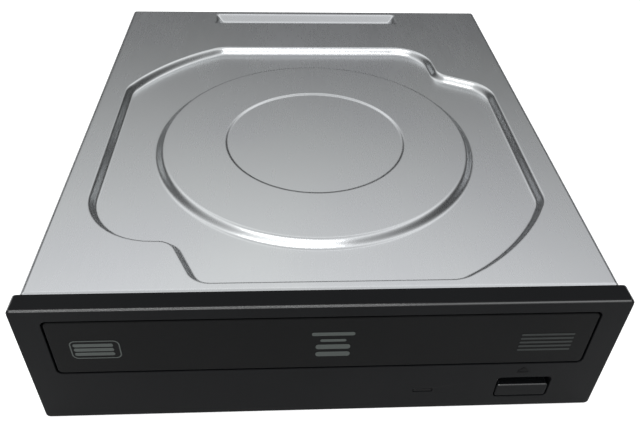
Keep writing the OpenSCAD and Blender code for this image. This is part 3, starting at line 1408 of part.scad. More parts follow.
module front_board() {
    color(board_green) difference() {
        union() {
            span(front_board_x, front_board_y, [front_board_z, front_board_top]);
            span([front_board_x[1] - 1, wall_in - 1], [case_y0 + 12.6, front_board_y[1]],
                [front_board_z, front_board_top]);
        }
        bar_z(28, case_y0 + 20, 1, front_board_z - 1, front_board_top + 1);
        bar_z(50, case_y0 + 20, 1, front_board_z - 1, front_board_top + 1);
    }
    color(white_resin) span([ribbon_x[0] - 0.8, ribbon_x[1] + 0.8],
        [front_board_y[1] - 4.5, front_board_y[1] - 0.5], [front_board_z - 1.4, front_board_z + 0.1]);
}

module eject_switch() {
    z = front_board_top;
    y0 = stem_y + button_travel + 0.3;
    color(rubber) {
        span([button_x - 3, button_x + 3], [y0 + 1.2, y0 + 5.4], [z, z + switch_h]);
        bar_y(button_x, button_z + button_h - 1.7, 0.9, y0, y0 + 1.3);
    }
}

module status_led() {
    z = front_board_top;
    color(white_resin) span([light_x - 1.6, light_x + 1.6], [stem_y + 0.9, stem_y + 3.6], [z, z + 3]);
}

module front_ribbon() {
    y0 = front_board_y[1] - 0.5;
    low = rail_z + 0.3;
    high = front_board_z - 1;
    y2 = board_y0 + 4.6;
    line = [[y0, high], [y0 + 1.2, high], [y0 + 3, low], [board_y0 - 4, low],
        [board_y0 - 1, board_top + 0.3], [y2, board_top + 0.3]];
    color(white_resin) along_x(ribbon_x[0], ribbon_x[1]) polygon(concat(line,
        [for (i = [5 : -1 : 0]) line[i] + [0, ribbon_t]]));
}

module case_screws() {
    color(bright_steel) both() for (y = screw_rows) translate([screw_x_case, y, 0])
        mirror([0, 0, 1]) screw(1.5, 2.7, 0.9, -7, -dimple_h);
}

module bridge_screws() {
    color(bright_steel) both() for (s = [-1, 1])
        translate([bridge_screw_x, disc_y + s * bridge_screw_y, 0])
            screw(1.2, 2.4, 0.9, bridge_z - 4.6, bridge_z + bridge_t);
}

top_cover();
bottom_cover();
bezel();
led_lens();
eject_button();
tray_door();
tray();
main_frame();
clamp_bridge();
clamp_puck();
clamp_magnet();
loading_motor();
motor_shaft();
motor_pulley();
drive_belt();
belt_gear();
tray_gear();
cam_slider();
lift_frame();
deck_plate();
dampers();
damper_screws();
guide_rod_left();
guide_rod_right();
rod_clips();
sled_motor();
screw_bracket();
lead_screw();
pickup_body();
pickup_shield();
actuator_yoke();
actuator_magnets();
screw_follower();
lens_holder();
focus_coil();
objective_lens();
spindle_base();
spindle_stator();
spindle_rotor();
rotor_magnet();
turntable();
turntable_pad();
spindle_screws();
main_board();
board_chips();
capacitors();
board_sockets();
sata_connector();
board_screws();
front_board();
eject_switch();
status_led();
front_ribbon();
case_screws();
bridge_screws();
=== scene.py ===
"""The look of a half-height internal disc drive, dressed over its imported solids.

Sizes in the classes are millimetres; meshes are made in metres, in the frame of the solids.
"""

from __future__ import annotations

import json
import logging
import math
from abc import ABC, abstractmethod
from dataclasses import dataclass
from enum import Enum
from typing import Any, Callable, Mapping, Sequence

import bmesh
import bpy
from mathutils import Matrix, Vector
from mathutils.bvhtree import BVHTree
from mathutils.geometry import delaunay_2d_cdt

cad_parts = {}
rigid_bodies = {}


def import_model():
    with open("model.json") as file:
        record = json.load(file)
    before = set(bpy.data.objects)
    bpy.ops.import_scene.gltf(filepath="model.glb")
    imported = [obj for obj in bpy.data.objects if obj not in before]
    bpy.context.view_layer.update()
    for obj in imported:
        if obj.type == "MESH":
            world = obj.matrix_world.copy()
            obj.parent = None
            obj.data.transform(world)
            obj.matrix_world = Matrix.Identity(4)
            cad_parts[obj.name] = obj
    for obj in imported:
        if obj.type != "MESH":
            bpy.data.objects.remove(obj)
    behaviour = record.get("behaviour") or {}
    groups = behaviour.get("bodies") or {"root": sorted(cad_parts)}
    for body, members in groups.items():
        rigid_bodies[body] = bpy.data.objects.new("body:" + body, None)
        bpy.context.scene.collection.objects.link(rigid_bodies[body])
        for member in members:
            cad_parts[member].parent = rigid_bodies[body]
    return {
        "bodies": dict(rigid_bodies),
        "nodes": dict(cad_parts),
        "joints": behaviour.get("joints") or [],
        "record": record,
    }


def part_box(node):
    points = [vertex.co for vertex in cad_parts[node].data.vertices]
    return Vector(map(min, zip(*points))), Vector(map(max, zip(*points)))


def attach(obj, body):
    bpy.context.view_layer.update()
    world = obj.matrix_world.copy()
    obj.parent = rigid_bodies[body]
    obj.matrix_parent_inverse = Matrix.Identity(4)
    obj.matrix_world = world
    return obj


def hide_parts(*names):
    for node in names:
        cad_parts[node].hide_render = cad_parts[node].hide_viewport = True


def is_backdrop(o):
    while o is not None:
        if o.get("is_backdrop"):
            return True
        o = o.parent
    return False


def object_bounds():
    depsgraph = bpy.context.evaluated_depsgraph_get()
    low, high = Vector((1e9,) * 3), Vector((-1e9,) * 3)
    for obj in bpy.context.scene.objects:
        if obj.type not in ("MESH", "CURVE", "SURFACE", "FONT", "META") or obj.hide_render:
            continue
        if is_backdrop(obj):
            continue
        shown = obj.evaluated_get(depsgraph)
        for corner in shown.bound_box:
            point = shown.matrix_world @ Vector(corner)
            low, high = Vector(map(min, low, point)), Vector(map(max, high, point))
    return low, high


LOG = logging.getLogger("disc_drive")
MM = 0.001
MICRON = 0.000001

Point = tuple[float, float]
Place = tuple[float, float, float]
Colour = tuple[float, float, float]
Section = tuple[float, float, float, float]
Chip = tuple[float, float, float, float, float, bool]
Lamp = tuple[str, Place, Place, Point, float]


class Body(Enum):
    """The moving bodies that pieces ride on."""

    HOUSING = "housing"
    DRAWER = "drawer"
    TRAY_WHEEL = "tray_wheel"
    BELT_WHEEL = "belt_wheel"
    MOTOR_WHEEL = "motor_wheel"
    DECK = "deck"
    SLED = "sled"
    LENS = "lens"
    SCREW = "screw"
    SPINDLE = "spindle"
    CLAMP = "clamp"
    CAM = "cam"
    BUTTON = "button"


# Node trees


def fill_ramp(ramp: bpy.types.ColorRamp, stops: Sequence[tuple[float, Colour]]) -> None:
    """Set a colour ramp's stops from places and colours."""
    while len(ramp.elements) < len(stops):
        ramp.elements.new(0.5)
    for element, (place, colour) in zip(ramp.elements, stops):
        element.position = place
        element.color = (*colour, 1.0)


def operator(operation: str, swapped: bool = False) -> Callable[[Value, Any], Value]:
    """Return a method that adds one Math node.

    Args:
        operation: name of the node's operation.
        swapped: whether the method's owner is the right operand.

    Returns:
        The method, which takes a Value or a number.
    """

    def method(self: Value, other: Any) -> Value:
        """Return the node's result."""
        pair = {0: other, 1: self} if swapped else {0: self, 1: other}
        return Value(self.graph, self.graph.result("ShaderNodeMath", pair, operation=operation))

    return method


class Value:
    """A number that varies over a surface, with the usual operators."""

    def __init__(self, graph: Graph, socket: bpy.types.NodeSocket) -> None:
        """Keep the graph and the output socket that gives the number."""
        self.graph = graph
        self.socket = socket

    __add__ = __radd__ = operator("ADD")
    __mul__ = __rmul__ = operator("MULTIPLY")
    __sub__ = operator("SUBTRACT")
    __rsub__ = operator("SUBTRACT", swapped=True)
    or_more = operator("MAXIMUM")

    def ease(self, low: float, high: float) -> Value:
        """Return a soft step from 0 at low to 1 at high."""
        span = {"Value": self, "From Min": low, "From Max": high, "To Min": 0.0, "To Max": 1.0}
        kind = {"interpolation_type": "SMOOTHSTEP"}
        return Value(self.graph, self.graph.result("ShaderNodeMapRange", span, **kind))


class NodeTree:
    """A tree of nodes that is filled in by code."""

    def __init__(self, tree: bpy.types.NodeTree) -> None:
        """Empty the tree and keep it."""
        self.tree = tree
        self.tree.nodes.clear()

    def node(
        self, kind: str, inputs: Mapping[Any, Any] | None = None, **settings: Any
    ) -> bpy.types.Node:
        """Add a node, set its settings first and then its inputs.

        Args:
            kind: the node's type.
            inputs: socket name or index to a number, a colour, a Value or a socket.
            settings: attributes to set; "stops" fills a colour ramp.

        Returns:
            The new node.
        """
        made = self.tree.nodes.new(kind)
        for key, value in settings.items():
            if key == "stops":
                fill_ramp(made.color_ramp, value)
            else:
                setattr(made, key, value)
        for key, value in (inputs or {}).items():
            source = value.socket if isinstance(value, Value) else value
            if isinstance(source, bpy.types.NodeSocket):
                self.tree.links.new(source, made.inputs[key])
            else:
                made.inputs[key].default_value = source
        return made

    def result(
        self, kind: str, inputs: Mapping[Any, Any] | None = None, **settings: Any
    ) -> bpy.types.NodeSocket:
        """Add a node in the same way and return its first output."""
        return self.node(kind, inputs, **settings).outputs[0]


class Graph(NodeTree):
    """The node tree of a material or of the world."""

    def coordinates(self, stretch: Place = (1.0, 1.0, 1.0)) -> bpy.types.NodeSocket:
        """Return the object's own coordinates, stretched along the axes."""
        source = self.node("ShaderNodeTexCoord").outputs["Object"]
        return self.result("ShaderNodeMapping", {"Vector": source, "Scale": stretch})

    def axes(self, socket: bpy.types.NodeSocket) -> tuple[Value, Value, Value]:
        """Return the three parts of a vector."""
        split = self.node("ShaderNodeSeparateXYZ", {0: socket})
        return tuple(Value(self, split.outputs[i]) for i in range(3))

    def noise(self, scale: float, detail: float = 2.0, stretch: Place = (1.0, 1.0, 1.0)) -> Value:
        """Return smooth noise, about 0.5 on average.

        Args:
            scale: waves in a metre.
            detail: number of finer layers.
            stretch: factor on the scale along each axis.

        Returns:
            The noise.
        """
        inputs = {"Vector": self.coordinates(stretch), "Scale": scale, "Detail": detail}
        return Value(self, self.result("ShaderNodeTexNoise", inputs))

    def bands(self, direction: str, scale: float, distortion: float = 0.0) -> Value:
        """Return waves from 0 to 1 that follow each other along a direction."""
        inputs = {"Vector": self.coordinates(), "Scale": scale, "Distortion": distortion}
        made = self.node("ShaderNodeTexWave", inputs, bands_direction=direction)
        return Value(self, made.outputs[1])

    def blend(self, mask: Any, first: Any, second: Any) -> bpy.types.NodeSocket:
        """Return the first colour where the mask is 0 and the second where it is 1."""
        pair = {
            key: (*value, 1.0) if isinstance(value, tuple) else value
            for key, value in ((6, first), (7, second))
        }
        return self.node("ShaderNodeMix", {0: mask, **pair}, data_type="RGBA").outputs[2]

    def bump(self, height: Any, distance: float) -> bpy.types.NodeSocket:
        """Return a normal that a height field tilts, its relief given in metres."""
        inputs = {"Height": height, "Distance": distance, "Strength": 1.0}
        return self.result("ShaderNodeBump", inputs)


def band_scale(pitch: float) -> float:
    """Return the scale at which bands repeat after a pitch in millimetres."""
    return math.pi / (10 * pitch * MM)


def new_graph(name: str) -> tuple[bpy.types.Material, Graph]:
    """Return a new material and its empty graph."""
    material = bpy.data.materials.new(name)
    material.use_nodes = True
    return material, Graph(material.node_tree)


# Finishes


class Finish(ABC):
    """A surface that can make its own material."""

    def make(self, name: str) -> bpy.types.Material:
        """Return the material under a name."""
        material, graph = new_graph(name)
        shader = graph.result("ShaderNodeBsdfPrincipled", self.look(graph))
        graph.node("ShaderNodeOutputMaterial", {"Surface": shader})
        return material

    @abstractmethod
    def look(self, graph: Graph) -> dict[str, Any]:
        """Return the shader's inputs, made in the graph."""


@dataclass(frozen=True)
class SheetSteel(Finish):
    """Plated sheet, with a fine rolled grain and slow changes of tint."""

    tint: Colour = (0.605, 0.62, 0.625)
    cool: Colour = (0.58, 0.59, 0.608)
    roughness: float = 0.27
    cloud: float = 0.045
    grain: float = 0.045

    def look(self, graph: Graph) -> dict[str, Any]:
        """Return the shader's inputs, made in the graph."""
        slow = graph.noise(16.0, 2.0)
        wipes = graph.noise(55.0, 3.0, (1.0, 0.35, 1.0))
        grain = graph.noise(900.0, 3.0, (1.0, 0.12, 1.0))
        specks = graph.noise(2600.0, 1.0)
        wear = (slow + wipes - 1.0) * self.cloud + (grain - 0.5) * 0.04
        return {
            "Base Color": graph.blend(slow.ease(0.35, 0.7), self.tint, self.cool),
            "Metallic": 1.0,
            "Roughness": wear + self.roughness,
            "Normal": graph.bump(grain * 0.7 + specks * 0.3, 4.0 * MICRON * self.grain),
        }


@dataclass(frozen=True)
class Moulding(Finish):
    """Dark moulded plastic with a fine spark-eroded grain."""

    tint: Colour
    worn: Colour
    roughness: float = 0.42
    grain: float = 1.0
    shine: float = 0.35
    polished_above: float = 0.0

    def polish(self, graph: Graph) -> Any:
        """Return the coat of the narrow polished band under an upper edge."""
        if not self.polished_above:
            return 0.0
        height = graph.axes(graph.coordinates())[2]
        level = self.polished_above * MM
        fade = height.ease(level + 0.06 * MM, level + 0.22 * MM)
        return height.ease(level - 0.3 * MM, level) * (1.0 - fade)

    def look(self, graph: Graph) -> dict[str, Any]:
        """Return the shader's inputs, made in the graph."""
        grain = graph.noise(2300.0, 2.0)
        fine = graph.noise(6000.0, 1.0)
        slow = graph.noise(24.0, 3.0)
        mask = slow.ease(0.42, 0.72) * 0.5 + grain.ease(0.5, 0.75) * 0.18
        return {
            "Base Color": graph.blend(mask, self.tint, self.worn),
            "Roughness": (slow - 0.5) * 0.1 + (grain - 0.5) * 0.12 + self.roughness,
            "Specular IOR Level": self.shine,
            "Coat Weight": self.polish(graph),
            "Coat Roughness": 0.12,
            "Coat IOR": 2.1,
            "Normal": graph.bump(grain * 0.65 + fine * 0.35, 10.0 * MICRON * self.grain),
        }


@dataclass(frozen=True)
class Resin(Finish):
    """Natural acetal resin or another pale, slightly waxy plastic."""

    tint: Colour = (0.74, 0.73, 0.67)
    roughness: float = 0.38

    def look(self, graph: Graph) -> dict[str, Any]:
        """Return the shader's inputs, made in the graph."""
        slow = graph.noise(60.0, 2.0)
        return {
            "Base Color": graph.blend(slow, self.tint, tuple(c * 0.9 for c in self.tint)),
            "Roughness": (slow - 0.5) * 0.12 + self.roughness,
            "Subsurface Weight": 0.08,
            "Subsurface Radius": (0.002, 0.002, 0.0015),
            "Normal": graph.bump(graph.noise(1800.0, 2.0), 4.0 * MICRON),
        }


@dataclass(frozen=True)
class Metal(Finish):
    """Bare turned, ground or sintered metal."""

    tint: Colour
    roughness: float = 0.25
    grain: float = 0.5
    metallic: float = 1.0
    along: Place = (1.0, 1.0, 1.0)

    def look(self, graph: Graph) -> dict[str, Any]:
        """Return the shader's inputs, made in the graph."""
        marks = graph.noise(1500.0, 2.0, self.along)
        slow = graph.noise(90.0, 2.0).ease(0.4, 0.7)
        return {
            "Base Color": graph.blend(slow, self.tint, tuple(c * 0.82 for c in self.tint)),
            "Metallic": self.metallic,
            "Roughness": (marks - 0.5) * 0.14 + self.roughness,
            "Normal": graph.bump(marks, 4.0 * MICRON * self.grain),
        }


@dataclass(frozen=True)
class SoftRubber(Finish):
    """Matt rubber with a dusty bloom."""

    tint: Colour = (0.014, 0.014, 0.015)
    dust: Colour = (0.05, 0.05, 0.052)

    def look(self, graph: Graph) -> dict[str, Any]:
        """Return the shader's inputs, made in the graph."""
        bloom = graph.noise(140.0, 4.0)
        return {
            "Base Color": graph.blend(bloom.ease(0.45, 0.8) * 0.4, self.tint, self.dust),
            "Roughness": (bloom - 0.5) * 0.15 + 0.72,
            "Normal": graph.bump(graph.noise(3000.0, 2.0), 12.0 * MICRON),
        }


@dataclass(frozen=True)
class SolderMask(Finish):
    """Circuit board: a green mask over copper tracks and plated holes."""

    tint: Colour = (0.012, 0.085, 0.04)
    track: Colour = (0.02, 0.15, 0.07)
    pad: Colour = (0.55, 0.46, 0.26)

    def look(self, graph: Graph) -> dict[str, Any]:
        """Return the shader's inputs, made in the graph."""
        slanted = graph.bands("DIAGONAL", 330.0).ease(0.45, 0.55)
        straight = graph.bands("X", 260.0).ease(0.45, 0.55)
        zones = graph.noise(70.0, 1.0).ease(0.48, 0.5)
        bare = graph.noise(45.0, 1.0).ease(0.5, 0.52)
        tracks = slanted * zones + straight * (1.0 - zones) * bare
        spots = {"Vector": graph.coordinates(), "Scale": 260.0}
        cells = graph.node("ShaderNodeTexVoronoi", spots).outputs["Distance"]
        holes = 1.0 - Value(graph, cells).ease(0.14, 0.18)
        colour = graph.blend(tracks, self.tint, self.track)
        return {
            "Base Color": graph.blend(holes, colour, self.pad),
            "Metallic": holes,
            "Roughness": 0.36 - holes * 0.08,
            "Normal": graph.bump(tracks + holes * 0.5, 30.0 * MICRON),
        }


@dataclass(frozen=True)
class FlatCable(Finish):
    """Pale film over a row of tinned strips that run along the cable."""

    film: Colour = (0.62, 0.63, 0.62)
    strip: Colour = (0.36, 0.37, 0.38)
    pitch: float = 0.5

    def look(self, graph: Graph) -> dict[str, Any]:
        """Return the shader's inputs, made in the graph."""
        strips = graph.bands("X", band_scale(self.pitch)).ease(0.45, 0.6)
        creases = graph.noise(300.0, 2.0)
        return {
            "Base Color": graph.blend(strips, self.film, self.strip),
            "Roughness": strips * -0.1 + creases * 0.1 + 0.36,
            "Normal": graph.bump(strips + creases * 0.3, 30.0 * MICRON),
        }


@dataclass(frozen=True)
class Winding(Finish):
    """Enamelled copper wire laid in even turns, with painted shade in the grooves between turns."""

    tint: Colour = (0.58, 0.21, 0.075)
    # dark: painted shade, the colour given to the grooves between turns
    dark: Colour = (0.25, 0.075, 0.025)
    pitch: float = 0.22

    def look(self, graph: Graph) -> dict[str, Any]:
        """Return the shader's inputs, made in the graph."""
        wire = graph.bands("Z", band_scale(self.pitch), 0.6)
        return {
            # Darker where the bands dip: painted shade in the grooves between the turns
            "Base Color": graph.blend(wire.ease(0.1, 0.5), self.dark, self.tint),
            "Metallic": 0.85,
            "Roughness": 0.42 - wire * 0.12,
            "Normal": graph.bump(wire, 60.0 * MICRON),
        }


@dataclass(frozen=True)
class CoatedLens(Finish):
    """Clear lens with a faint blue coating."""

    tint: Colour = (0.72, 0.80, 0.98)
    deep: Colour = (0.6, 0.7, 0.95)

    def look(self, graph: Graph) -> dict[str, Any]:
        """Return the shader's inputs, made in the graph."""
        haze = graph.noise(500.0, 2.0)
        return {
            "Base Color": graph.blend(haze, self.tint, self.deep),
            "Roughness": haze * 0.04 + 0.02,
            "IOR": 1.6,
            "Transmission Weight": 0.55,
            "Coat Weight": 0.6,
        }


BLACK_FRONT = Moulding((0.0050, 0.0054, 0.0062), (0.0085, 0.009, 0.0098), 0.34, 0.9, 0.08, 41.77)
BLACK_DOOR = Moulding((0.0052, 0.0054, 0.0057), (0.0085, 0.0087, 0.009), 0.5, 1.6, 0.08)
BLACK_FRAME = Moulding((0.014, 0.014, 0.015), (0.026, 0.026, 0.027), 0.5)
BLACK_TRAY = Moulding((0.015, 0.015, 0.0165), (0.025, 0.025, 0.027), 0.44, 1.2)
BLACK_BUTTON = Moulding((0.0050, 0.0054, 0.0062), (0.0085, 0.009, 0.0098), 0.36, 0.9, 0.08, 9.5)
SMOKED = Moulding((0.0042, 0.0042, 0.0047), (0.006, 0.006, 0.0065), 0.22, 0.3, 0.1)

FINISHES: dict[str, Finish] = {
    "cover_steel": SheetSteel(),
    "bridge_steel": SheetSteel((0.66, 0.66, 0.65), (0.6, 0.6, 0.6), 0.26, 0.1),
    "front_black": BLACK_FRONT,
    "door_black": BLACK_DOOR,
    "frame_black": BLACK_FRAME,
    "tray_black": BLACK_TRAY,
    "light_resin": SMOKED,
    "white_resin": Resin(),
    "rod_steel": Metal((0.62, 0.62, 0.63), 0.14, along=(1.0, 0.05, 1.0)),
    "screw_steel": Metal((0.50, 0.50, 0.51), 0.24),
    "rubber": SoftRubber(),
    "magnet": Metal((0.10, 0.10, 0.105), 0.5, 2.0, 0.8),
    "coil": Winding(),
    "pickup_metal": Metal((0.23, 0.235, 0.245), 0.46, 2.4),
    "lens_glass": CoatedLens(),
    "board": SolderMask(),
    "chip": Moulding((0.012, 0.012, 0.0125), (0.022, 0.022, 0.023), roughness=0.55),
    "capacitor": Metal((0.66, 0.66, 0.68), 0.3),
}

GOLD = Metal((0.83, 0.60, 0.26), 0.22)
TIN = Metal((0.62, 0.62, 0.61), 0.35)
CERAMIC = Moulding((0.075, 0.055, 0.035), (0.10, 0.08, 0.05), 0.5)
NYLON = Moulding((0.011, 0.011, 0.0115), (0.018, 0.018, 0.019), 0.4)
CABLE = FlatCable()
BLACK_INK = Moulding((0.0022, 0.0022, 0.0025), (0.004, 0.004, 0.0042), 0.5, 0.5, 0.1)
GREY_INK = Moulding((0.082, 0.093, 0.088), (0.1, 0.11, 0.105), 0.55, 0.8, 0.2)
PALE_INK = Moulding((0.028, 0.032, 0.031), (0.036, 0.04, 0.039), 0.55, 0.8, 0.2)

OWN_LOOKS: dict[str, Finish] = {
    "front_ribbon": CABLE,
    "status_led": Resin((0.62, 0.66, 0.6), 0.2),
    "sata_connector": NYLON,
    "eject_switch": NYLON,
    "spindle_rotor": Metal((0.70, 0.70, 0.71), 0.2, 0.5, 1.0, (1.0, 1.0, 0.1)),
    "loading_motor": Metal((0.60, 0.60, 0.60), 0.3, 1.2),
    "sled_motor": Metal((0.60, 0.60, 0.60), 0.3, 1.2),
}

SOFT_EDGES: dict[str, float] = {
    "bottom_cover": 0.16,
    "main_frame": 0.22,
    "clamp_bridge": 0.14,
    "bridge_screws": 0.1,
    "clamp_puck": 0.3,
    "clamp_magnet": 0.25,
    "tray": 0.24,
    "led_lens": 0.12,
    "loading_motor": 0.35,
    "motor_shaft": 0.15,
    "motor_pulley": 0.12,
    "belt_gear": 0.1,
    "tray_gear": 0.1,
    "cam_slider": 0.2,
    "lift_frame": 0.2,
    "deck_plate": 0.12,
    "dampers": 0.35,
    "damper_screws": 0.12,
    "guide_rod_left": 0.25,
    "guide_rod_right": 0.25,
    "rod_clips": 0.2,
    "sled_motor": 0.35,
    "screw_bracket": 0.12,
    "pickup_body": 0.25,
    "pickup_shield": 0.08,
    "actuator_yoke": 0.12,
    "actuator_magnets": 0.08,
    "screw_follower": 0.15,
    "lens_holder": 0.15,
    "focus_coil": 0.1,
    "spindle_base": 0.14,
    "spindle_stator": 0.2,
    "spindle_rotor": 0.25,
    "rotor_magnet": 0.12,
    "turntable": 0.22,
    "turntable_pad": 0.08,
    "spindle_screws": 0.08,
    "main_board": 0.06,
    "board_sockets": 0.15,
    "sata_connector": 0.12,
    "board_screws": 0.1,
    "front_board": 0.06,
    "eject_switch": 0.15,
    "status_led": 0.25,
    "case_screws": 0.1,
}


# Outlines


def metres(*sizes: float) -> tuple[float, ...]:
    """Return sizes in metres, given in millimetres."""
    return tuple(size * MM for size in sizes)


def arc_points(centre: Point, radius: float, start: float, end: float, steps: int) -> list[Point]:
    """Return points on an arc, its angles in degrees."""
    made = []
    for index in range(steps + 1):
        angle = math.radians(start + (end - start) * index / steps)
        made.append((centre[0] + radius * math.cos(angle), centre[1] + radius * math.sin(angle)))
    return made


def ring_points(centre: Point, radius: float, steps: int) -> list[Point]:
    """Return points evenly round a circle."""
    return arc_points(centre, radius, 0.0, 360.0 * (1 - 1 / steps), steps - 1)


def round_corner(
    before: Point, corner: Point, after: Point, radius: float, steps: int
) -> list[Point]:
    """Round one corner of a path.

    Args:
        before: the point before the corner.
        corner: the corner itself.
        after: the point after the corner.
        radius: radius of the arc.
        steps: number of chords.

    Returns:
        Points of the arc, in the path's order.
    """
    origin = Vector(corner)
    back = (Vector(before) - origin).normalized()
    ahead = (Vector(after) - origin).normalized()
    half = back.angle(ahead) / 2
    centre = origin + (back + ahead).normalized() * (radius / math.sin(half))
    first = origin + back * (radius / math.tan(half)) - centre
    last = origin + ahead * (radius / math.tan(half)) - centre
    start = math.degrees(math.atan2(first.y, first.x))
    turn = (math.degrees(math.atan2(last.y, last.x)) - start + 180) % 360 - 180
    return arc_points((centre.x, centre.y), radius, start, start + turn, steps)


def round_path(corners: Sequence[tuple[float, float, float]], steps: int) -> list[Point]:
    """Return a closed path whose corners (x, y, radius) are rounded; radius 0 keeps the point."""
    places = [(c[0], c[1]) for c in corners]
    made: list[Point] = []
    for index, (x, y, radius) in enumerate(corners):
        if radius:
            after = places[(index + 1) % len(places)]
            made += round_corner(places[index - 1], (x, y), after, radius, steps)
        else:
            made.append((x, y))
    return made


def moved_in(path: Sequence[Point], distance: float) -> list[Point]:
    """Return an anticlockwise path moved inwards, or outwards for a negative distance."""
    made = []
    for index, point in enumerate(path):
        here = Vector(point)
        back = (here - Vector(path[index - 1])).normalized()
        ahead = (Vector(path[(index + 1) % len(path)]) - here).normalized()
        side = Vector((-back.y - ahead.y, back.x + ahead.x)).normalized()
        made.append(tuple(here + side * (distance / side.dot(Vector((-back.y, back.x))))))
    return made


def rounded_box(
    centre: Point, half_x: float, half_y: float, radius: float, steps: int
) -> list[Point]:
    """Return a rectangle with rounded corners, anticlockwise from its lower right corner."""
    (x, y), r = centre, radius
    corners = [(x + half_x, y - half_y, r), (x + half_x, y + half_y, r)]
    corners += [(x - half_x, y + half_y, r), (x - half_x, y - half_y, r)]
    return round_path(corners, steps)


def soft_step(part: float) -> float:
    """Return the height of a pressed wall at a part of its run."""
    return part * part * (3 - 2 * part)


def inside(point: Point, path: Sequence[Point]) -> bool:
    """Return whether a point lies inside a closed path."""
    found = False
    for index, (x1, y1) in enumerate(path):
        x0, y0 = path[index - 1]
        if (y1 > point[1]) != (y0 > point[1]):
            if point[0] < (x0 - x1) * (point[1] - y1) / (y0 - y1) + x1:
                found = not found
    return found


# Meshes


class Skin:
    """Faces gathered from loops, strips and flat fields, in millimetres."""

    def __init__(self) -> None:
        """Start with nothing."""
        self.points: list[Place] = []
        self.faces: list[tuple[int, ...]] = []

    def loop(self, places: Sequence[Place]) -> list[int]:
        """Add points and return their numbers."""
        first = len(self.points)
        self.points += [tuple(p) for p in places]
        return list(range(first, len(self.points)))

    def level(self, outline: Sequence[Point], z: float) -> list[int]:
        """Add an outline in X and Y at a height and return its points' numbers."""
        return self.loop([(x, y, z) for x, y in outline])

    def strip(self, one: Sequence[int], two: Sequence[int], closed: bool = True) -> None:
        """Join two loops of equal length with four-sided faces."""
        count = len(one)
        for index in range(count if closed else count - 1):
            after = (index + 1) % count
            self.faces.append((one[index], one[after], two[after], two[index]))

    def strips(self, loops: Sequence[Sequence[int]]) -> None:
        """Join each loop to the next."""
        for one, two in zip(loops, loops[1:]):
            self.strip(one, two)

    def flat(
        self,
        outer: Sequence[int],
        holes: Sequence[Sequence[int]] = (),
        axes: tuple[int, int] = (0, 1),
    ) -> None:
        """Fill a flat field between an outline and its holes.

        Args:
            outer: numbers of the outline's points.
            holes: numbers of each hole's points.
            axes: the two axes that span the field; swapped axes turn its faces over.
        """
        rings = (outer, *holes)
        numbers = [n for ring in rings for n in ring]
        groups = [[tuple(self.points[n][axis] for axis in axes) for n in ring] for ring in rings]
        edges: list[tuple[int, int]] = []
        for group in groups:
            first, size = len(edges), len(group)
            edges += [(first + i, first + (i + 1) % size) for i in range(size)]
        flat = [Vector(place) for group in groups for place in group]
        verts, _, faces, origin, _, _ = delaunay_2d_cdt(flat, edges, [], 0, 1e-6)
        for face in faces:
            middle = tuple(sum((verts[i] for i in face), Vector((0, 0))) / len(face))
            if inside(middle, groups[0]) and not any(inside(middle, gap) for gap in groups[1:]):
                a, b, c = (verts[i] for i in face[:3])
                over = (b - a).cross(c - a) < 0
                kept = [numbers[origin[i][0]] for i in face]
                self.faces.append(tuple(reversed(kept)) if over else tuple(kept))

    def closed(self, loops: Sequence[Sequence[int]], axes: tuple[int, int] = (0, 1)) -> None:
        """Join each loop to the next and fill the last and the first."""
        self.strips(loops)
        self.flat(loops[-1], axes=axes)
        self.flat(loops[0], axes=axes[::-1])

    def make(self, name: str) -> bpy.types.Object:
        """Return the faces as an object in metres, with doubled points merged."""
        mesh = bpy.data.meshes.new(name)
        mesh.from_pydata([tuple(c * MM for c in p) for p in self.points], [], self.faces)
        work = bmesh.new()
        work.from_mesh(mesh)
        bmesh.ops.remove_doubles(work, verts=work.verts, dist=2.0 * MICRON)
        bmesh.ops.dissolve_degenerate(work, edges=work.edges, dist=1.0 * MICRON)
        work.to_mesh(mesh)
        work.free()
        return linked(name, mesh)


def block(skin: Skin, centre: Point, sections: Sequence[Section], steps: int = 4) -> None:
    """Add an upright moulded block.

    Args:
        skin: the sheet that takes the faces.
        centre: the block's middle in X and Y.
        sections: half width, half length, corner radius and height of each level, upwards.
        steps: chords in a corner.
    """
    outlines = [(rounded_box(centre, *sizes, steps), z) for *sizes, z in sections]
    skin.closed([skin.level(outline, z) for outline, z in outlines])


def turned(skin: Skin, profile: Sequence[Point], centre: Point, steps: int = 48) -> None:
    """Add an upright turned shape.

    Args:
        skin: the sheet that takes the faces.
        profile: radius and height, upwards along the outside; it starts and ends off the axis.
        centre: the axis in X and Y.
        steps: number of faces round the axis.
    """
    loops = [skin.level(ring_points(centre, radius, steps), z) for radius, z in profile]
    skin.strips(loops)
    skin.faces += [tuple(loops[-1]), tuple(reversed(loops[0]))]


def joined(name: str, pieces: Sequence[bpy.types.Object]) -> bpy.types.Object:
    """Join mesh objects into a new one and remove them."""
    work = bmesh.new()
    for piece in pieces:
        work.from_mesh(piece.data)
        bpy.data.objects.remove(piece)
    mesh = bpy.data.meshes.new(name)
    work.to_mesh(mesh)
    work.free()
    return smoothed(linked(name, mesh), FINE_CREASE)


CREASE = 40.0
SOLID_CREASE = 28.0
FINE_CREASE = 35.0
ROUND_CREASE = 50.0

SHARP_ANGLE = math.radians(34.0)
FLAT_ANGLE = math.radians(0.4)
STRAIGHT_ON = -0.85
ROOM_BESIDE_ROUNDED = 2.1
ROOM_BESIDE_SHARP = 1.1
WIDTH_SHARES = (1.0, 0.6, 0.35, 0.0)
MOST_STRAY = 0.75
AREA_KEPT = (0.93, 1.004)


def face_room(face: bmesh.types.BMFace, edge: bmesh.types.BMEdge) -> float:
    """Return how far a face reaches away from one of its edges."""
    start = edge.verts[0].co
    along = (edge.verts[1].co - start).normalized()
    return max(((v.co - start) - along * (v.co - start).dot(along)).length for v in face.verts)


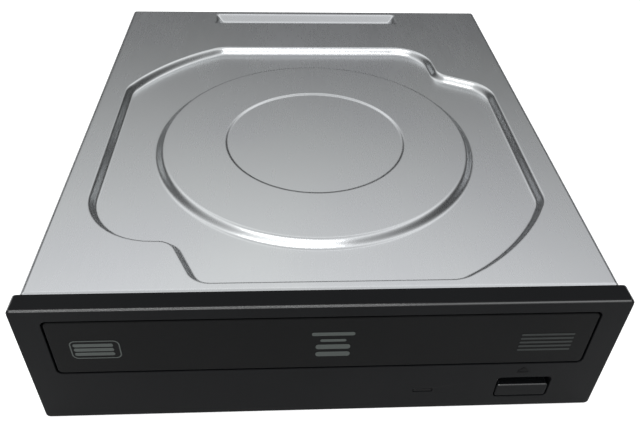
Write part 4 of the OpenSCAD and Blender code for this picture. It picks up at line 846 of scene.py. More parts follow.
def has_room(edge: bmesh.types.BMEdge, chosen: set[bmesh.types.BMEdge], width: float) -> bool:
    """Return whether an edge can be rounded without running into what lies beside it.

    Args:
        edge: the edge.
        chosen: all the edges that are to be rounded.
        width: width of the rounding in metres.

    Returns:
        True if the faces beside it and the edges at its ends are long enough.
    """
    if any(face_room(face, edge) < ROOM_BESIDE_ROUNDED * width for face in edge.link_faces):
        return False
    for end in edge.verts:
        ahead = (edge.other_vert(end).co - end.co).normalized()
        for other in end.link_edges:
            if other is edge:
                continue
            away = other.other_vert(end).co - end.co
            goes_on = other in chosen and ahead.dot(away.normalized()) < STRAIGHT_ON
            room = ROOM_BESIDE_ROUNDED if other in chosen else ROOM_BESIDE_SHARP
            if not goes_on and away.length < room * width:
                return False
    return True


def cut_area(work: bmesh.types.BMesh) -> float:
    """Cut a shape's many-sided faces into triangles and return its area."""
    bmesh.ops.triangulate(work, faces=[face for face in work.faces if len(face.verts) > 4])
    return sum(face.calc_area() for face in work.faces)


def rounded_trial(work: bmesh.types.BMesh, width: float, steps: int) -> bmesh.types.BMesh:
    """Return a copy of a shape with its sharp edges rounded where there is room."""
    trial = work.copy()
    sharp = {e for e in trial.edges if e.is_manifold and e.calc_face_angle(0.0) > SHARP_ANGLE}
    fitting = [e for e in trial.edges if e in sharp and has_room(e, sharp, width)]
    shape = {"offset": width, "segments": steps, "profile": 0.5}
    rules = {"offset_type": "OFFSET", "affect": "EDGES", "clamp_overlap": False}
    bmesh.ops.bevel(trial, geom=fitting, **shape, **rules)
    return trial


def linked(name: str, mesh: bpy.types.Mesh) -> bpy.types.Object:
    """Return a new object of this mesh, linked to the scene."""
    made = bpy.data.objects.new(name, mesh)
    bpy.context.scene.collection.objects.link(made)
    return made


def baked(source: bpy.types.Object, name: str) -> bpy.types.Object:
    """Turn an object with its modifiers into a plain mesh object.

    Args:
        source: the object; it is removed.
        name: name of the result.

    Returns:
        The plain object.
    """
    bpy.context.view_layer.update()
    graph = bpy.context.evaluated_depsgraph_get()
    mesh = bpy.data.meshes.new_from_object(source.evaluated_get(graph), depsgraph=graph)
    bpy.data.objects.remove(source)
    mesh.name = name
    return linked(name, mesh)


def smoothed(piece: bpy.types.Object, angle: float) -> bpy.types.Object:
    """Shade a piece smooth except at edges sharper than an angle in degrees."""
    piece.data.shade_smooth()
    piece.data.set_sharp_from_angle(angle=math.radians(angle))
    return piece


def evened(piece: bpy.types.Object) -> bpy.types.Object:
    """Shade a piece so that its flat faces stay flat up to their rounded edges."""
    smoothed(piece, CREASE)
    weigh = piece.modifiers.new("even_faces", "WEIGHTED_NORMAL")
    weigh.weight = 80
    weigh.keep_sharp = True
    return baked(piece, piece.name)


class Drive:
    """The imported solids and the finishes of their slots."""

    def __init__(self) -> None:
        """Load the frame and make one material for each slot."""
        self.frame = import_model()
        self.box = [list(corner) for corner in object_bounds()]
        self.slots = {s["node"]: s["material_slot"] for s in self.frame["record"]["subparts"]}
        bodies = self.frame["record"]["behaviour"]["bodies"]
        self.riders = {node: body for body, nodes in bodies.items() for node in nodes}
        self.materials = {name: finish.make(name) for name, finish in FINISHES.items()}
        self.added: dict[str, bpy.types.Material] = {}

    def finish(self, name: str, look: Finish) -> bpy.types.Material:
        """Return a finish of a new piece, made once under its name."""
        if name not in self.added:
            self.added[name] = look.make(name)
        return self.added[name]

    def look_of(self, node: str) -> bpy.types.Material:
        """Return a solid's own material, or that of its slot."""
        if node in OWN_LOOKS:
            return self.finish(node + "_look", OWN_LOOKS[node])
        return self.materials[self.slots[node]]

    def dress_solids(self) -> None:
        """Give every solid its material."""
        for node, piece in self.frame["nodes"].items():
            piece.data.materials.clear()
            piece.data.materials.append(self.look_of(node))
            smoothed(piece, SOLID_CREASE)

    def place(
        self,
        piece: bpy.types.Object,
        body: Body,
        slot: str,
        material: bpy.types.Material | None = None,
        replaces: Sequence[str] = (),
    ) -> bpy.types.Object:
        """Dress a new piece and fix it to its body.

        Args:
            piece: the piece.
            body: the body that it rides on.
            slot: the record's slot that it takes its finish from.
            material: its material, or None for the slot's own.
            replaces: the solids that it stands for.

        Returns:
            The same piece.
        """
        piece.data.materials.clear()
        piece.data.materials.append(material or self.materials[slot])
        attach(piece, body.value)
        if replaces:
            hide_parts(*replaces)
        LOG.info("%s rides on %s, %d faces", piece.name, body.value, len(piece.data.polygons))
        return piece

    def softened(self, node: str, name: str, width: float, steps: int = 2) -> bpy.types.Object:
        """Copy a solid and round its edges.

        Args:
            node: the solid.
            name: name of the copy.
            width: width of the rounding in millimetres; it is made narrower if a corner strays.
            steps: number of faces across a rounding.

        Returns:
            The rounded copy.
        """
        work = bmesh.new()
        work.from_mesh(self.frame["nodes"][node].data)
        bmesh.ops.remove_doubles(work, verts=work.verts, dist=1.0 * MICRON)
        shape = BVHTree.FromBMesh(work)
        area = cut_area(work)
        raw = work.copy()
        all_of_it = {"verts": work.verts, "edges": work.edges}
        bmesh.ops.dissolve_limit(work, angle_limit=FLAT_ANGLE, **all_of_it)
        for share in WIDTH_SHARES:
            size = width * share * MM
            trial = rounded_trial(work, size, steps) if share else raw.copy()
            stray = max(shape.find_nearest(v.co)[3] for v in trial.verts)
            left = cut_area(trial) / area
            if stray <= MOST_STRAY * size + 0.1 * MICRON and AREA_KEPT[0] < left < AREA_KEPT[1]:
                break
            LOG.info("%s strays by %.3f mm, area %.4f", node, stray / MM, left)
            trial.free()
        mesh = bpy.data.meshes.new(name)
        trial.to_mesh(mesh)
        for done in (trial, work, raw):
            done.free()
        LOG.info("%s is rounded by %.2f mm", node, size / MM)
        return evened(linked(name, mesh))

    def soften_rest(self, widths: Mapping[str, float]) -> None:
        """Give the solids of a table rounded copies that stand for them.

        Args:
            widths: width of the rounding for each solid, in millimetres.
        """
        for node, width in widths.items():
            piece = self.softened(node, node + "_finished", width)
            self.place(piece, Body(self.riders[node]), self.slots[node], self.look_of(node), [node])


# Repeated shapes


class ShapeTree(NodeTree):
    """A tree of geometry nodes that is built in code and baked to a plain mesh."""

    def __init__(self, name: str) -> None:
        """Start a tree with one output."""
        super().__init__(bpy.data.node_groups.new(name, "GeometryNodeTree"))
        shape = {"in_out": "OUTPUT", "socket_type": "NodeSocketGeometry"}
        self.tree.interface.new_socket(name="Shape", **shape)
        self.inlet = self.node("NodeGroupInput")
        self.names: dict[str, str] = {}

    def size(self, name: str, kind: str = "Float") -> bpy.types.NodeSocket:
        """Add a named input and return the socket that gives it inside the tree."""
        inlet = {"in_out": "INPUT", "socket_type": "NodeSocket" + kind}
        made = self.tree.interface.new_socket(name=name, **inlet)
        self.names[name] = made.identifier
        return next(s for s in self.inlet.outputs if s.identifier == made.identifier)

    def row(self) -> bpy.types.NodeSocket:
        """Return a row of points, its count, start and step being inputs."""
        places = {"Count": self.size("Count", "Int")}
        places["Start Location"] = self.size("Start", "Vector")
        places["Offset"] = self.size("Step", "Vector")
        return self.result("GeometryNodeMeshLine", places, mode="OFFSET")

    def coil(self, chords: int, turns: Any, radius: Any, height: Any) -> bpy.types.NodeSocket:
        """Return an upright helix with a number of chords in each turn."""
        sizes = {"Resolution": chords, "Rotations": turns, "Height": height}
        sizes.update({"Start Radius": radius, "End Radius": radius})
        return self.result("GeometryNodeCurveSpiral", sizes)

    def ring(self, chords: int, radius: Any) -> bpy.types.NodeSocket:
        """Return a circle to sweep along a path."""
        sizes = {"Resolution": chords, "Radius": radius}
        return self.result("GeometryNodeCurvePrimitiveCircle", sizes, mode="RADIUS")

    def swept(
        self, path: bpy.types.NodeSocket, outline: bpy.types.NodeSocket
    ) -> bpy.types.NodeSocket:
        """Return an outline swept along a path, with closed ends."""
        curves = {"Curve": path, "Profile Curve": outline, "Fill Caps": True}
        return self.result("GeometryNodeCurveToMesh", curves)

    def moved(self, shape: bpy.types.NodeSocket, **how: Any) -> bpy.types.NodeSocket:
        """Return a shape with a Rotation or a Translation."""
        return self.result("GeometryNodeTransform", {"Geometry": shape, **how})

    def copies(
        self, points: bpy.types.NodeSocket, shape: bpy.types.NodeSocket, **how: Any
    ) -> bpy.types.NodeSocket:
        """Return a copy of a shape at each point."""
        inputs = {"Points": points, "Instance": shape, **how}
        return self.result("GeometryNodeInstanceOnPoints", inputs)

    def end(self, shape: bpy.types.NodeSocket) -> ShapeTree:
        """Close the tree: make copies real, set the finish and return the tree."""
        real = self.result("GeometryNodeRealizeInstances", {0: shape})
        dress = {"Geometry": real, "Material": self.size("Finish", "Material")}
        self.node("NodeGroupOutput", {0: self.result("GeometryNodeSetMaterial", dress)})
        return self

    def bake(self, name: str, values: Mapping[str, Any]) -> bpy.types.Object:
        """Return the tree's result as a plain mesh object.

        Args:
            name: name of the object.
            values: a value for each named input, lengths in metres.

        Returns:
            The object, with its place in its mesh.
        """
        holder = linked(name + "_tree", bpy.data.meshes.new(name + "_tree"))
        modifier = holder.modifiers.new("shape", "NODES")
        modifier.node_group = self.tree
        for key, value in values.items():
            modifier[self.names[key]] = value
        return smoothed(baked(holder, name), FINE_CREASE)


def bar_rows() -> ShapeTree:
    """Return a tree that sets small bars out in a row."""
    tree = ShapeTree("bar_row")
    bar = tree.result("GeometryNodeMeshCube", {"Size": tree.size("Bar", "Vector")})
    return tree.end(tree.copies(tree.row(), bar))


def helix_ridge() -> ShapeTree:
    """Return a tree that winds a round ridge about the Y axis."""
    tree = ShapeTree("helix_ridge")
    path = tree.coil(20, tree.size("Turns"), tree.size("Radius"), tree.size("Length"))
    ridge = tree.swept(path, tree.ring(8, tree.size("Ridge")))
    place = tree.size("Place", "Vector")
    return tree.end(tree.moved(ridge, Rotation=(-math.pi / 2, 0.0, 0.0), Translation=place))


def pole_windings() -> ShapeTree:
    """Return a tree that winds wire round each pole of a motor."""
    tree = ShapeTree("pole_windings")
    height, turns = 3.4 * MM, 9.0
    path = tree.coil(14, turns, tree.size("Coil width"), height)
    centred = tree.moved(path, Translation=(0.0, 0.0, -height / 2))
    wire = tree.swept(centred, tree.ring(6, tree.size("Wire")))
    poles = {"Vertices": tree.size("Poles", "Int"), "Radius": tree.size("Middle radius")}
    circle = tree.result("GeometryNodeMeshCircle", poles)
    outwards = {"Vector": tree.result("GeometryNodeInputPosition")}
    aim = tree.result("FunctionNodeAlignRotationToVector", outwards, axis="Z")
    copies = tree.copies(circle, wire, Rotation=aim)
    return tree.end(tree.moved(copies, Translation=tree.size("Place", "Vector")))


def lead_rows() -> ShapeTree:
    """Return a tree that sets bent leads out in a row beside a chip."""
    tree = ShapeTree("lead_row")
    ends = (
        ("Start", "Shoulder"),
        ("Start Handle", "Bend"),
        ("End Handle", "Rise"),
        ("End", "Foot"),
    )
    bend = {socket: tree.size(name, "Vector") for socket, name in ends}
    segment = "GeometryNodeCurvePrimitiveBezierSegment"
    lead = tree.result(segment, {"Resolution": 7, **bend}, mode="POSITION")
    sizes = {"Width": tree.size("Width"), "Height": tree.size("Thickness")}
    outline = tree.result("GeometryNodeCurvePrimitiveQuadrilateral", sizes, mode="RECTANGLE")
    turn = tree.size("Turn", "Rotation")
    return tree.end(tree.copies(tree.row(), tree.swept(lead, outline), Rotation=turn))


# The pressed cover


@dataclass
class PressedCover:
    """The steel lid: a sunk field, a round plateau, a label disc and a trough."""

    half_width: float = 73.0
    front: float = -79.8
    rear: float = 85.2
    top: float = 41.4
    bend: float = 1.4
    sheet: float = 0.6
    disc_y: float = -13.0
    field: Place = (64.6, 63.6, 72.3)
    arc_end: float = 11.0
    depth: float = 2.4
    wall: float = 2.0
    plateau: float = 47.3
    plateau_wall: float = 2.7
    plateau_sink: float = 0.2
    label: float = 28.4
    label_sink: float = 0.35
    rear_lip: float = 8.0
    front_lip: float = 2.2
    label_wall: float = 0.8
    trough_box: Place = (38.0, 12.6, 3.2)
    trough_slopes: Place = (-3.5, -2.4, 4.4)
    trough_depth: float = 2.0
    trough_wall: float = 4.4
    steps: int = 9
    bend_steps: int = 6
    guard: float = 0.3
    hole_places: Sequence[Point] = ((-32.4, 9.9), (-32.4, 21.84), (46.85, 9.9), (46.85, 21.84))
    tap: Sequence[Point] = (
        (1.75, 0.0),
        (1.6, 0.03),
        (1.4, 0.12),
        (1.27, 0.3),
        (1.25, 0.5),
        (1.25, 2.4),
    )
    windows: Sequence[Section] = ((-73.8, -69.8, 12.5, 16.5), (-73.8, -69.8, 24.9, 28.9))

    def field_path(self) -> list[Point]:
        """Return the outline of the sunk field about the disc centre."""
        half_w, half_l, big = self.field
        start = math.degrees(math.atan2(-half_l, math.sqrt(big**2 - half_l**2)))
        end = math.degrees(math.atan2(-math.sqrt(big**2 - half_w**2), half_w))

        def long_arc(turn: float) -> list[Place]:
            """Return a large arc of the outline, a rounding at each of its ends."""
            points = arc_points((0, 0), big, turn + start, turn + end, 24)
            middle = [(x, y, 0.0) for x, y in points[4:-4]]
            return [(*points[0], self.arc_end), *middle, (*points[-1], self.arc_end)]

        corners = [(-32.4, -half_l, 7.0), *long_arc(0), (half_w, 33.2, 12.0), (47.4, 42.3, 6.0)]
        corners += [(45.3, half_l, 14.0), *long_arc(180)]
        corners += [(-half_w, -48.2, 20.5), (-39.9, -48.2, 5.0)]
        return round_path(corners, 12)

    def pressed(
        self,
        skin: Skin,
        outline: Callable[[float], Sequence[Point]],
        top: float,
        depth: float,
        run: float,
        steps: int,
    ) -> tuple[list[int], list[int]]:
        """Make one pressed wall.

        Args:
            skin: the sheet that takes the faces.
            outline: gives the wall's outline at a distance from its upper edge.
            top: height of the upper edge.
            depth: height of the wall; negative where it rises inwards.
            run: width of the wall.
            steps: number of strips.

        Returns:
            The outermost and the innermost loop, each on flat sheet.
        """
        stations = [(-self.guard, 0.0)]
        stations += [(run * i / steps, depth * soft_step(i / steps)) for i in range(steps + 1)]
        stations.append((run + self.guard, depth))
        loops = [skin.level(outline(out), top - down) for out, down in stations]
        skin.strips(loops)
        return loops[0], loops[-1]

    def circle(self, radius: float) -> Callable[[float], list[Point]]:
        """Return a function that gives a circle about the disc centre, moved in by a distance."""
        return lambda distance: ring_points((0.0, self.disc_y), radius - distance, 120)

    def trough(self, distance: float) -> list[Point]:
        """Return the outline of the rear trough at a distance down its longest wall."""
        part = distance / self.trough_wall
        sizes = zip(self.trough_box, self.trough_slopes)
        half, front, rear = (size + slope * part for size, slope in sizes)
        middle = (0.0, self.rear - (front + rear) / 2)
        return rounded_box(middle, half, (front - rear) / 2, max(1.3 - 0.5 * part, 0.3), 6)

    def make_top(self, skin: Skin) -> list[int]:
        """Make the pressed top and return the outermost loop of its flat rim."""
        path = self.field_path()

        def around(distance: float) -> list[Point]:
            """Return the field's outline in place."""
            return [(x, y + self.disc_y) for x, y in moved_in(path, distance)]

        top, sink = self.top, self.plateau_sink
        hill = self.circle(self.plateau + self.plateau_wall)
        slope = (self.plateau_wall, self.steps)
        rim, floor = self.pressed(skin, around, top, self.depth, self.wall, self.steps)
        foot, shoulder = self.pressed(skin, hill, top - self.depth, sink - self.depth, *slope)
        disc = self.circle(self.label)
        ring, label = self.pressed(skin, disc, top - sink, self.label_sink, self.label_wall, 5)
        edge, bed = self.pressed(skin, self.trough, top, self.trough_depth, self.trough_wall, 8)
        skin.flat(floor, [foot])
        skin.flat(shoulder, [ring])
        for bottom in (label, bed):
            skin.flat(bottom)
        outermost = skin.level(self.rim_path(-self.guard), top)
        skin.flat(outermost, [rim, edge])
        return outermost

    def rim_path(self, out: float) -> list[Point]:
        """Return the rim's rectangle moved outwards, its corners rounded where it is moved out."""
        x = self.half_width - self.bend
        y0, y1 = self.front + self.bend, self.rear - self.bend
        made: list[Point] = []
        for cx, cy, start in ((x, y0, -90), (x, y1, 0), (-x, y1, 90), (-x, y0, 180)):
            if out > 0:
                made += arc_points((cx, cy), out, start, start + 90, self.bend_steps)
            else:
                moved = (cx + (out if cx > 0 else -out), cy + (out if cy == y1 else -out))
                made += [moved] * (self.bend_steps + 1)
        return made

    def make_sides(self, skin: Skin, rim: list[int]) -> None:
        """Make the bends, the two side walls and the lips."""
        loops = [rim]
        for index in range(self.bend_steps + 1):
            angle = math.radians(90 * index / self.bend_steps)
            path = self.rim_path(self.bend * math.sin(angle))
            height = self.top - self.bend * (1 - math.cos(angle))
            loops.append(skin.level(path, height))
        lip = self.top - self.front_lip
        loops.append(skin.level(self.rim_path(self.bend), lip))
        skin.strips(loops[::-1])
        corner = self.bend_steps + 1
        back = loops[-1][corner : 3 * corner]
        rear = self.top - self.rear_lip
        down = skin.level([skin.points[i][:2] for i in back], rear)
        skin.strip(down, back, closed=False)
        for side in (1, -1):
            self.side_wall(skin, side, lip, rear)

    def side_wall(self, skin: Skin, side: int, lip: float, rear: float) -> None:
        """Make one side wall with its tapped holes and latch windows."""
        x = side * self.half_width
        y0, y1 = self.front, self.rear
        corners = [(y0, 0.0), (y1, 0.0), (y1, rear), (y1 - self.bend, rear), (y1 - self.bend, lip)]
        corners += [(y0 + self.bend, lip), (y0, lip)]
        outer = skin.loop([(x, y, z) for y, z in corners])
        holes = []
        for place in self.hole_places:
            rings = []
            for radius, depth in self.tap:
                ring = ring_points(place, radius, 24)
                rings.append(skin.loop([(x - side * depth, y, z) for y, z in ring]))
            holes.append(rings[0])
            skin.strips(rings[::side])
        for a, b, c, d in self.windows:
            holes.append(skin.loop([(x, a, c), (x, b, c), (x, b, d), (x, a, d)]))
        skin.flat(outer, holes, (1, 2) if side > 0 else (2, 1))

    def make(self) -> bpy.types.Object:
        """Return the whole lid as one sheet with its thickness."""
        skin = Skin()
        rim = self.make_top(skin)
        self.make_sides(skin, rim)
        piece = skin.make("pressed_cover")
        wall = piece.modifiers.new("sheet", "SOLIDIFY")
        wall.thickness = self.sheet * MM
        wall.offset = -1.0
        return evened(baked(piece, "pressed_cover"))


# The front panel


@dataclass
class FrontPanel:
    """The moulded front: panel, tray door, button, eject mark and door prints."""

    face: float = -85.2
    root: float = 0.02
    mark: Point = (52.4, 15.6)
    lift: float = 0.06
    print_left: Point = (-56.5, 27.9)
    print_middle: Point = (1.7, 28.0)
    print_right: Point = (55.6, 27.3)

    def plate(self, name: str, outlines: Sequence[Sequence[Point]]) -> bpy.types.Object:
        """Make thin raised shapes on the front face.

        Args:
            name: name of the piece.
            outlines: anticlockwise outlines in X and Z, seen from the front.

        Returns:
            The shapes as one object.
        """
        skin = Skin()
        for outline in outlines:
            levels = (self.face + self.root, self.face - self.lift)
            skin.closed([skin.loop([(x, y, z) for x, z in outline]) for y in levels], (0, 2))
        return skin.make(name)

    def band(self, name: str, outline: Sequence[Point], width: float) -> bpy.types.Object:
        """Return a thin raised band along an anticlockwise outline on the face."""
        skin = Skin()
        inner = moved_in(outline, width)
        low, high = self.face + self.root, self.face - self.lift
        edges = ((outline, low), (outline, high), (inner, high), (inner, low))
        loops = [skin.loop([(x, y, z) for x, z in path]) for path, y in edges]
        skin.strips([*loops, loops[0]])
        return skin.make(name)

    def eject_mark(self) -> bpy.types.Object:
        """Return the triangle over a bar beside the button."""
        x, z = self.mark
        half = 1.5
        low, high = z - 0.9, z - 0.45
        triangle = [(x - half, z), (x + half, z), (x, z + half)]
        bar = [(x - half, low), (x + half, low), (x + half, high), (x - half, high)]
        return self.plate("eject_mark", [triangle, bar])

    @staticmethod
    def pad(x: float, z: float, wide: float, high: float, radius: float) -> list[Point]:
        """Return a rounded rectangle about a point of the face."""
        return rounded_box((x, z), wide / 2, high / 2, radius, 5)

    def door_print(self) -> list[bpy.types.Object]:
        """Return the three plain printed ornaments of the tray's door."""
        x, z = self.print_left
        frame = self.band("print_left_frame", self.pad(x + 0.4, z, 12.0, 6.6, 1.5), 0.3)
        bars = [self.pad(x, z + 1.62 * (1 - i), 9.6, 1.15, 0.5) for i in range(3)]
        left = joined("print_left", [frame, self.plate("print_left_bars", bars)])
        x, z = self.print_middle
        stack = ((4.0, 10.6, 1.2, 0.5), (1.6, 6.4, 0.9, 0.4), (-0.8, 8.6, 1.7, 0.7))
        stack += ((-3.6, 8.6, 1.7, 0.7),)
        middle = [self.pad(x, z + up, *size) for up, *size in stack]
        x, z = self.print_right
        rows = [self.pad(x, z + 2.9 - 1.45 * i, 13.6, 0.7, 0.33) for i in range(5)]
        return [left, self.plate("print_middle", middle), self.plate("print_right", rows)]

    def build(self, drive: Drive) -> None:
        """Make and place the front's pieces."""
        satin = drive.finish("button_black", BLACK_BUTTON)
        mouldings = (
            ("bezel", "front_panel", 0.32, Body.HOUSING, "front_black", None),
            ("tray_door", "drawer_front", 0.26, Body.DRAWER, "door_black", None),
            ("eject_button", "press_button", 0.25, Body.BUTTON, "door_black", satin),
        )
        for node, name, width, body, slot, look in mouldings:
            drive.place(drive.softened(node, name, width, steps=3), body, slot, look, [node])
        mark = drive.finish("black_ink", BLACK_INK)
        drive.place(self.eject_mark(), Body.HOUSING, "front_black", mark)
        self.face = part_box("tray_door")[0][1] / MM
        inks = (GREY_INK, GREY_INK, PALE_INK)
        for piece, ink in zip(self.door_print(), inks):
            drive.place(piece, Body.DRAWER, "door_black", drive.finish(piece.name + "_ink", ink))


# The boards


@dataclass
class Electronics:
    """Chips, small parts, capacitors and contacts of the boards."""

    board: float = 3.8
    chips: Sequence[Chip] = (
        (-16.0, 34.3, 20.0, 20.0, 1.3, True),
        (18.0, 28.3, 12.0, 12.0, 1.1, True),
        (-43.0, 20.3, 10.0, 20.0, 1.0, False),
        (-40.0, 46.3, 8.0, 6.0, 1.2, False),
        (10.0, 56.3, 9.0, 7.0, 1.2, False),
    )
    cans: Sequence[Point] = ((-55.0, 38.3), (-55.0, 48.3), (50.0, 66.5), (4.0, 72.3), (-6.0, 72.3))
    can_radius: float = 3.1
    can_height: float = 5.4
    rows: Sequence[tuple[float, float, float, float, int]] = (
        (-24.0, 48.6, 2.7, 0.0, 7),
        (12.0, 38.6, 2.7, 0.0, 5),
        (-48.0, 34.2, 2.7, 0.0, 5),
        (31.0, 20.0, 0.0, 2.2, 9),
        (19.0, 50.4, 2.7, 0.0, 6),
        (-30.0, 22.0, 0.0, 2.2, 8),
        (42.0, 22.0, 0.0, 2.2, 10),
        (-50.0, 58.4, 2.7, 0.0, 9),
        (-24.0, 62.0, 2.7, 0.0, 8),
    )
    part: Place = (1.1, 0.76, 0.5)
    part_end: Place = (0.3, 0.8, 0.54)
    part_end_x: float = 0.68
    pitch: float = 0.8
    lead: Point = (0.13, 0.34)
    lead_reach: float = 1.0
    lead_bend: float = 0.55
    lead_rise: float = 0.3
    lead_foot: float = 0.07
    tongue: Point = (84.0, 8.2)
    contact: Place = (0.8, 5.4, 0.1)
    contact_pitch: float = 1.27
    contacts: Sequence[tuple[float, int]] = ((22.3, 7), (39.1, 15))

    def chip_bodies(self) -> bpy.types.Object:
        """Return the moulded bodies of the chips."""
        skin = Skin()
        for x, y, w, l, h, _ in self.chips:
            levels = ((0.14, 0.02), (0.0, h * 0.48), (0.0, h * 0.56), (0.12, h - 0.06), (0.18, h))
            sections = [(w / 2 - side, l / 2 - side, 0.25, self.board + up) for side, up in levels]
            block(skin, (x, y), sections)
        return smoothed(skin.make("chip_bodies"), CREASE)

    def chip_dots(self) -> bpy.types.Object:
        """Return the round marks at the first lead of each chip."""
        skin = Skin()
        for x, y, w, l, h, _ in self.chips:
            spot = (x - w / 2 + 1.5, y + l / 2 - 1.5)
            top = self.board + h
            turned(skin, [(0.55, top - 0.05), (0.55, top + 0.01), (0.5, top + 0.015)], spot, 24)
        return smoothed(skin.make("chip_dots"), CREASE)

    def chip_leads(self, finish: bpy.types.Material) -> bpy.types.Object:
        """Return all the chips' bent leads."""
        tree = lead_rows()
        wide, thick = metres(*self.lead)
        made = []
        for number, (x, y, w, l, h, four) in enumerate(self.chips):
            sides = [(0.0, w / 2, l), (180.0, w / 2, l)]
            if four:
                sides += [(90.0, l / 2, w), (270.0, l / 2, w)]
            for angle, out, run in sides:
                count = int((run - 1.6) / self.pitch) + 1
                turn = Matrix.Rotation(math.radians(angle), 3, "Z")
                first = turn @ Vector((out - 0.05, -self.pitch * (count - 1) / 2, 0.0))
                values = {
                    "Count": count,
                    "Start": metres(*(first + Vector((x, y, self.board)))),
                    "Step": tuple(turn @ Vector((0.0, self.pitch * MM, 0.0))),
                    "Turn": (0.0, 0.0, math.radians(angle)),
                    "Shoulder": metres(0.0, 0.0, h / 2),
                    "Bend": metres(self.lead_bend, 0.0, h / 2),
                    "Rise": metres(self.lead_rise, 0.0, self.lead_foot),
                    "Foot": metres(self.lead_reach, 0.0, self.lead_foot),
                    "Width": wide,
                    "Thickness": thick,
                    "Finish": finish,
                }
                made.append(tree.bake(f"leads_{number}_{int(angle)}", values))
        return joined("chip_leads", made)

    def row_parts(
        self, body: bpy.types.Material, tin: bpy.types.Material
    ) -> list[bpy.types.Object]:
        """Return the small two-ended parts of the board, bodies and ends."""
        tree = bar_rows()
        bodies, ends = [], []
        for number, (x, y, dx, dy, count) in enumerate(self.rows):
            row = {"Count": count, "Step": metres(dx, dy, 0.0)}
            start = metres(x, y, self.board + 0.28)
            middle = {"Start": start, "Bar": metres(*self.part)}
            bodies.append(tree.bake(f"row_{number}", {**row, **middle, "Finish": body}))
            for side in (-1, 1):
                start = metres(x + side * self.part_end_x, y, self.board + 0.29)
                end = {"Start": start, "Bar": metres(*self.part_end), "Finish": tin}
                ends.append(tree.bake(f"row_{number}_{side}", {**row, **end}))
        return [joined("small_parts", bodies), joined("small_part_ends", ends)]

    def can_cases(self) -> bpy.types.Object:
        """Return the aluminium cans of the capacitors."""
        skin = Skin()
        r, low, top = self.can_radius, self.board + 0.75, self.board + self.can_height
        for place in self.cans:
            rounding = arc_points((r - 0.5, top - 0.5), 0.5, 0.0, 90.0, 5)
            profile = [(r - 0.3, low), (r, low + 0.3), (r, low + 0.9), (r - 0.25, low + 1.15)]
            profile += [(r, low + 1.4), *rounding, (r - 0.9, top)]
            profile += [(r - 1.0, top - 0.06), (0.2, top - 0.06)]
            turned(skin, profile, place, 56)
        return smoothed(skin.make("capacitor_cans"), ROUND_CREASE)

    def can_feet(self) -> bpy.types.Object:
        """Return the black feet under the capacitors, two corners cut off."""
        skin = Skin()
        for place in self.cans:
            sections = [(3.2, 3.2, 0.5, self.board), (3.3, 3.3, 0.6, self.board + 0.15)]
            sections += [(3.3, 3.3, 0.6, self.board + 0.68), (3.18, 3.18, 0.6, self.board + 0.8)]
            block(skin, place, sections)
        return smoothed(skin.make("capacitor_feet"), CREASE)

    def can_marks(self) -> bpy.types.Object:
        """Return the dark segments printed on the cans."""
        skin = Skin()
        top = self.board + self.can_height - 0.05
        for place in self.cans:
            segment = arc_points(place, self.can_radius - 1.05, 120.0, 240.0, 20)
            skin.closed([skin.level(segment, z) for z in (top - 0.02, top)])
        return skin.make("capacitor_marks")

    def plug_contacts(self, finish: bpy.types.Material) -> bpy.types.Object:
        """Return the gilt contacts on the tongues of the rear connector."""
        tree = bar_rows()
        made = []
        rear, top = self.tongue
        for x, count in self.contacts:
            first = x - self.contact_pitch * (count - 1) / 2
            values = {
                "Count": count,
                "Start": metres(first, rear - self.contact[1] / 2, top + 0.03),
                "Step": metres(self.contact_pitch, 0.0, 0.0),
                "Bar": metres(*self.contact),
                "Finish": finish,
            }
            made.append(tree.bake(f"contacts_{count}", values))
        return joined("plug_contacts", made)

    def build(self, drive: Drive) -> None:
        """Make and place the pieces of the boards."""
        gold, tin = drive.finish("gilt", GOLD), drive.finish("tinned", TIN)
        ceramic, nylon = drive.finish("ceramic", CERAMIC), drive.finish("nylon", NYLON)
        drive.place(self.chip_bodies(), Body.HOUSING, "chip", replaces=["board_chips"])
        drive.place(self.chip_dots(), Body.HOUSING, "chip", drive.finish("chip_mark", GREY_INK))
        drive.place(self.chip_leads(tin), Body.HOUSING, "capacitor", tin)
        bodies, ends = self.row_parts(ceramic, tin)
        drive.place(bodies, Body.HOUSING, "chip", ceramic)
        drive.place(ends, Body.HOUSING, "capacitor", tin)
        drive.place(self.can_cases(), Body.HOUSING, "capacitor", replaces=["capacitors"])
        drive.place(self.can_feet(), Body.HOUSING, "chip", nylon)
        drive.place(self.can_marks(), Body.HOUSING, "chip", nylon)
        drive.place(self.plug_contacts(gold), Body.HOUSING, "capacitor", gold)


# The pickup and the disc motor


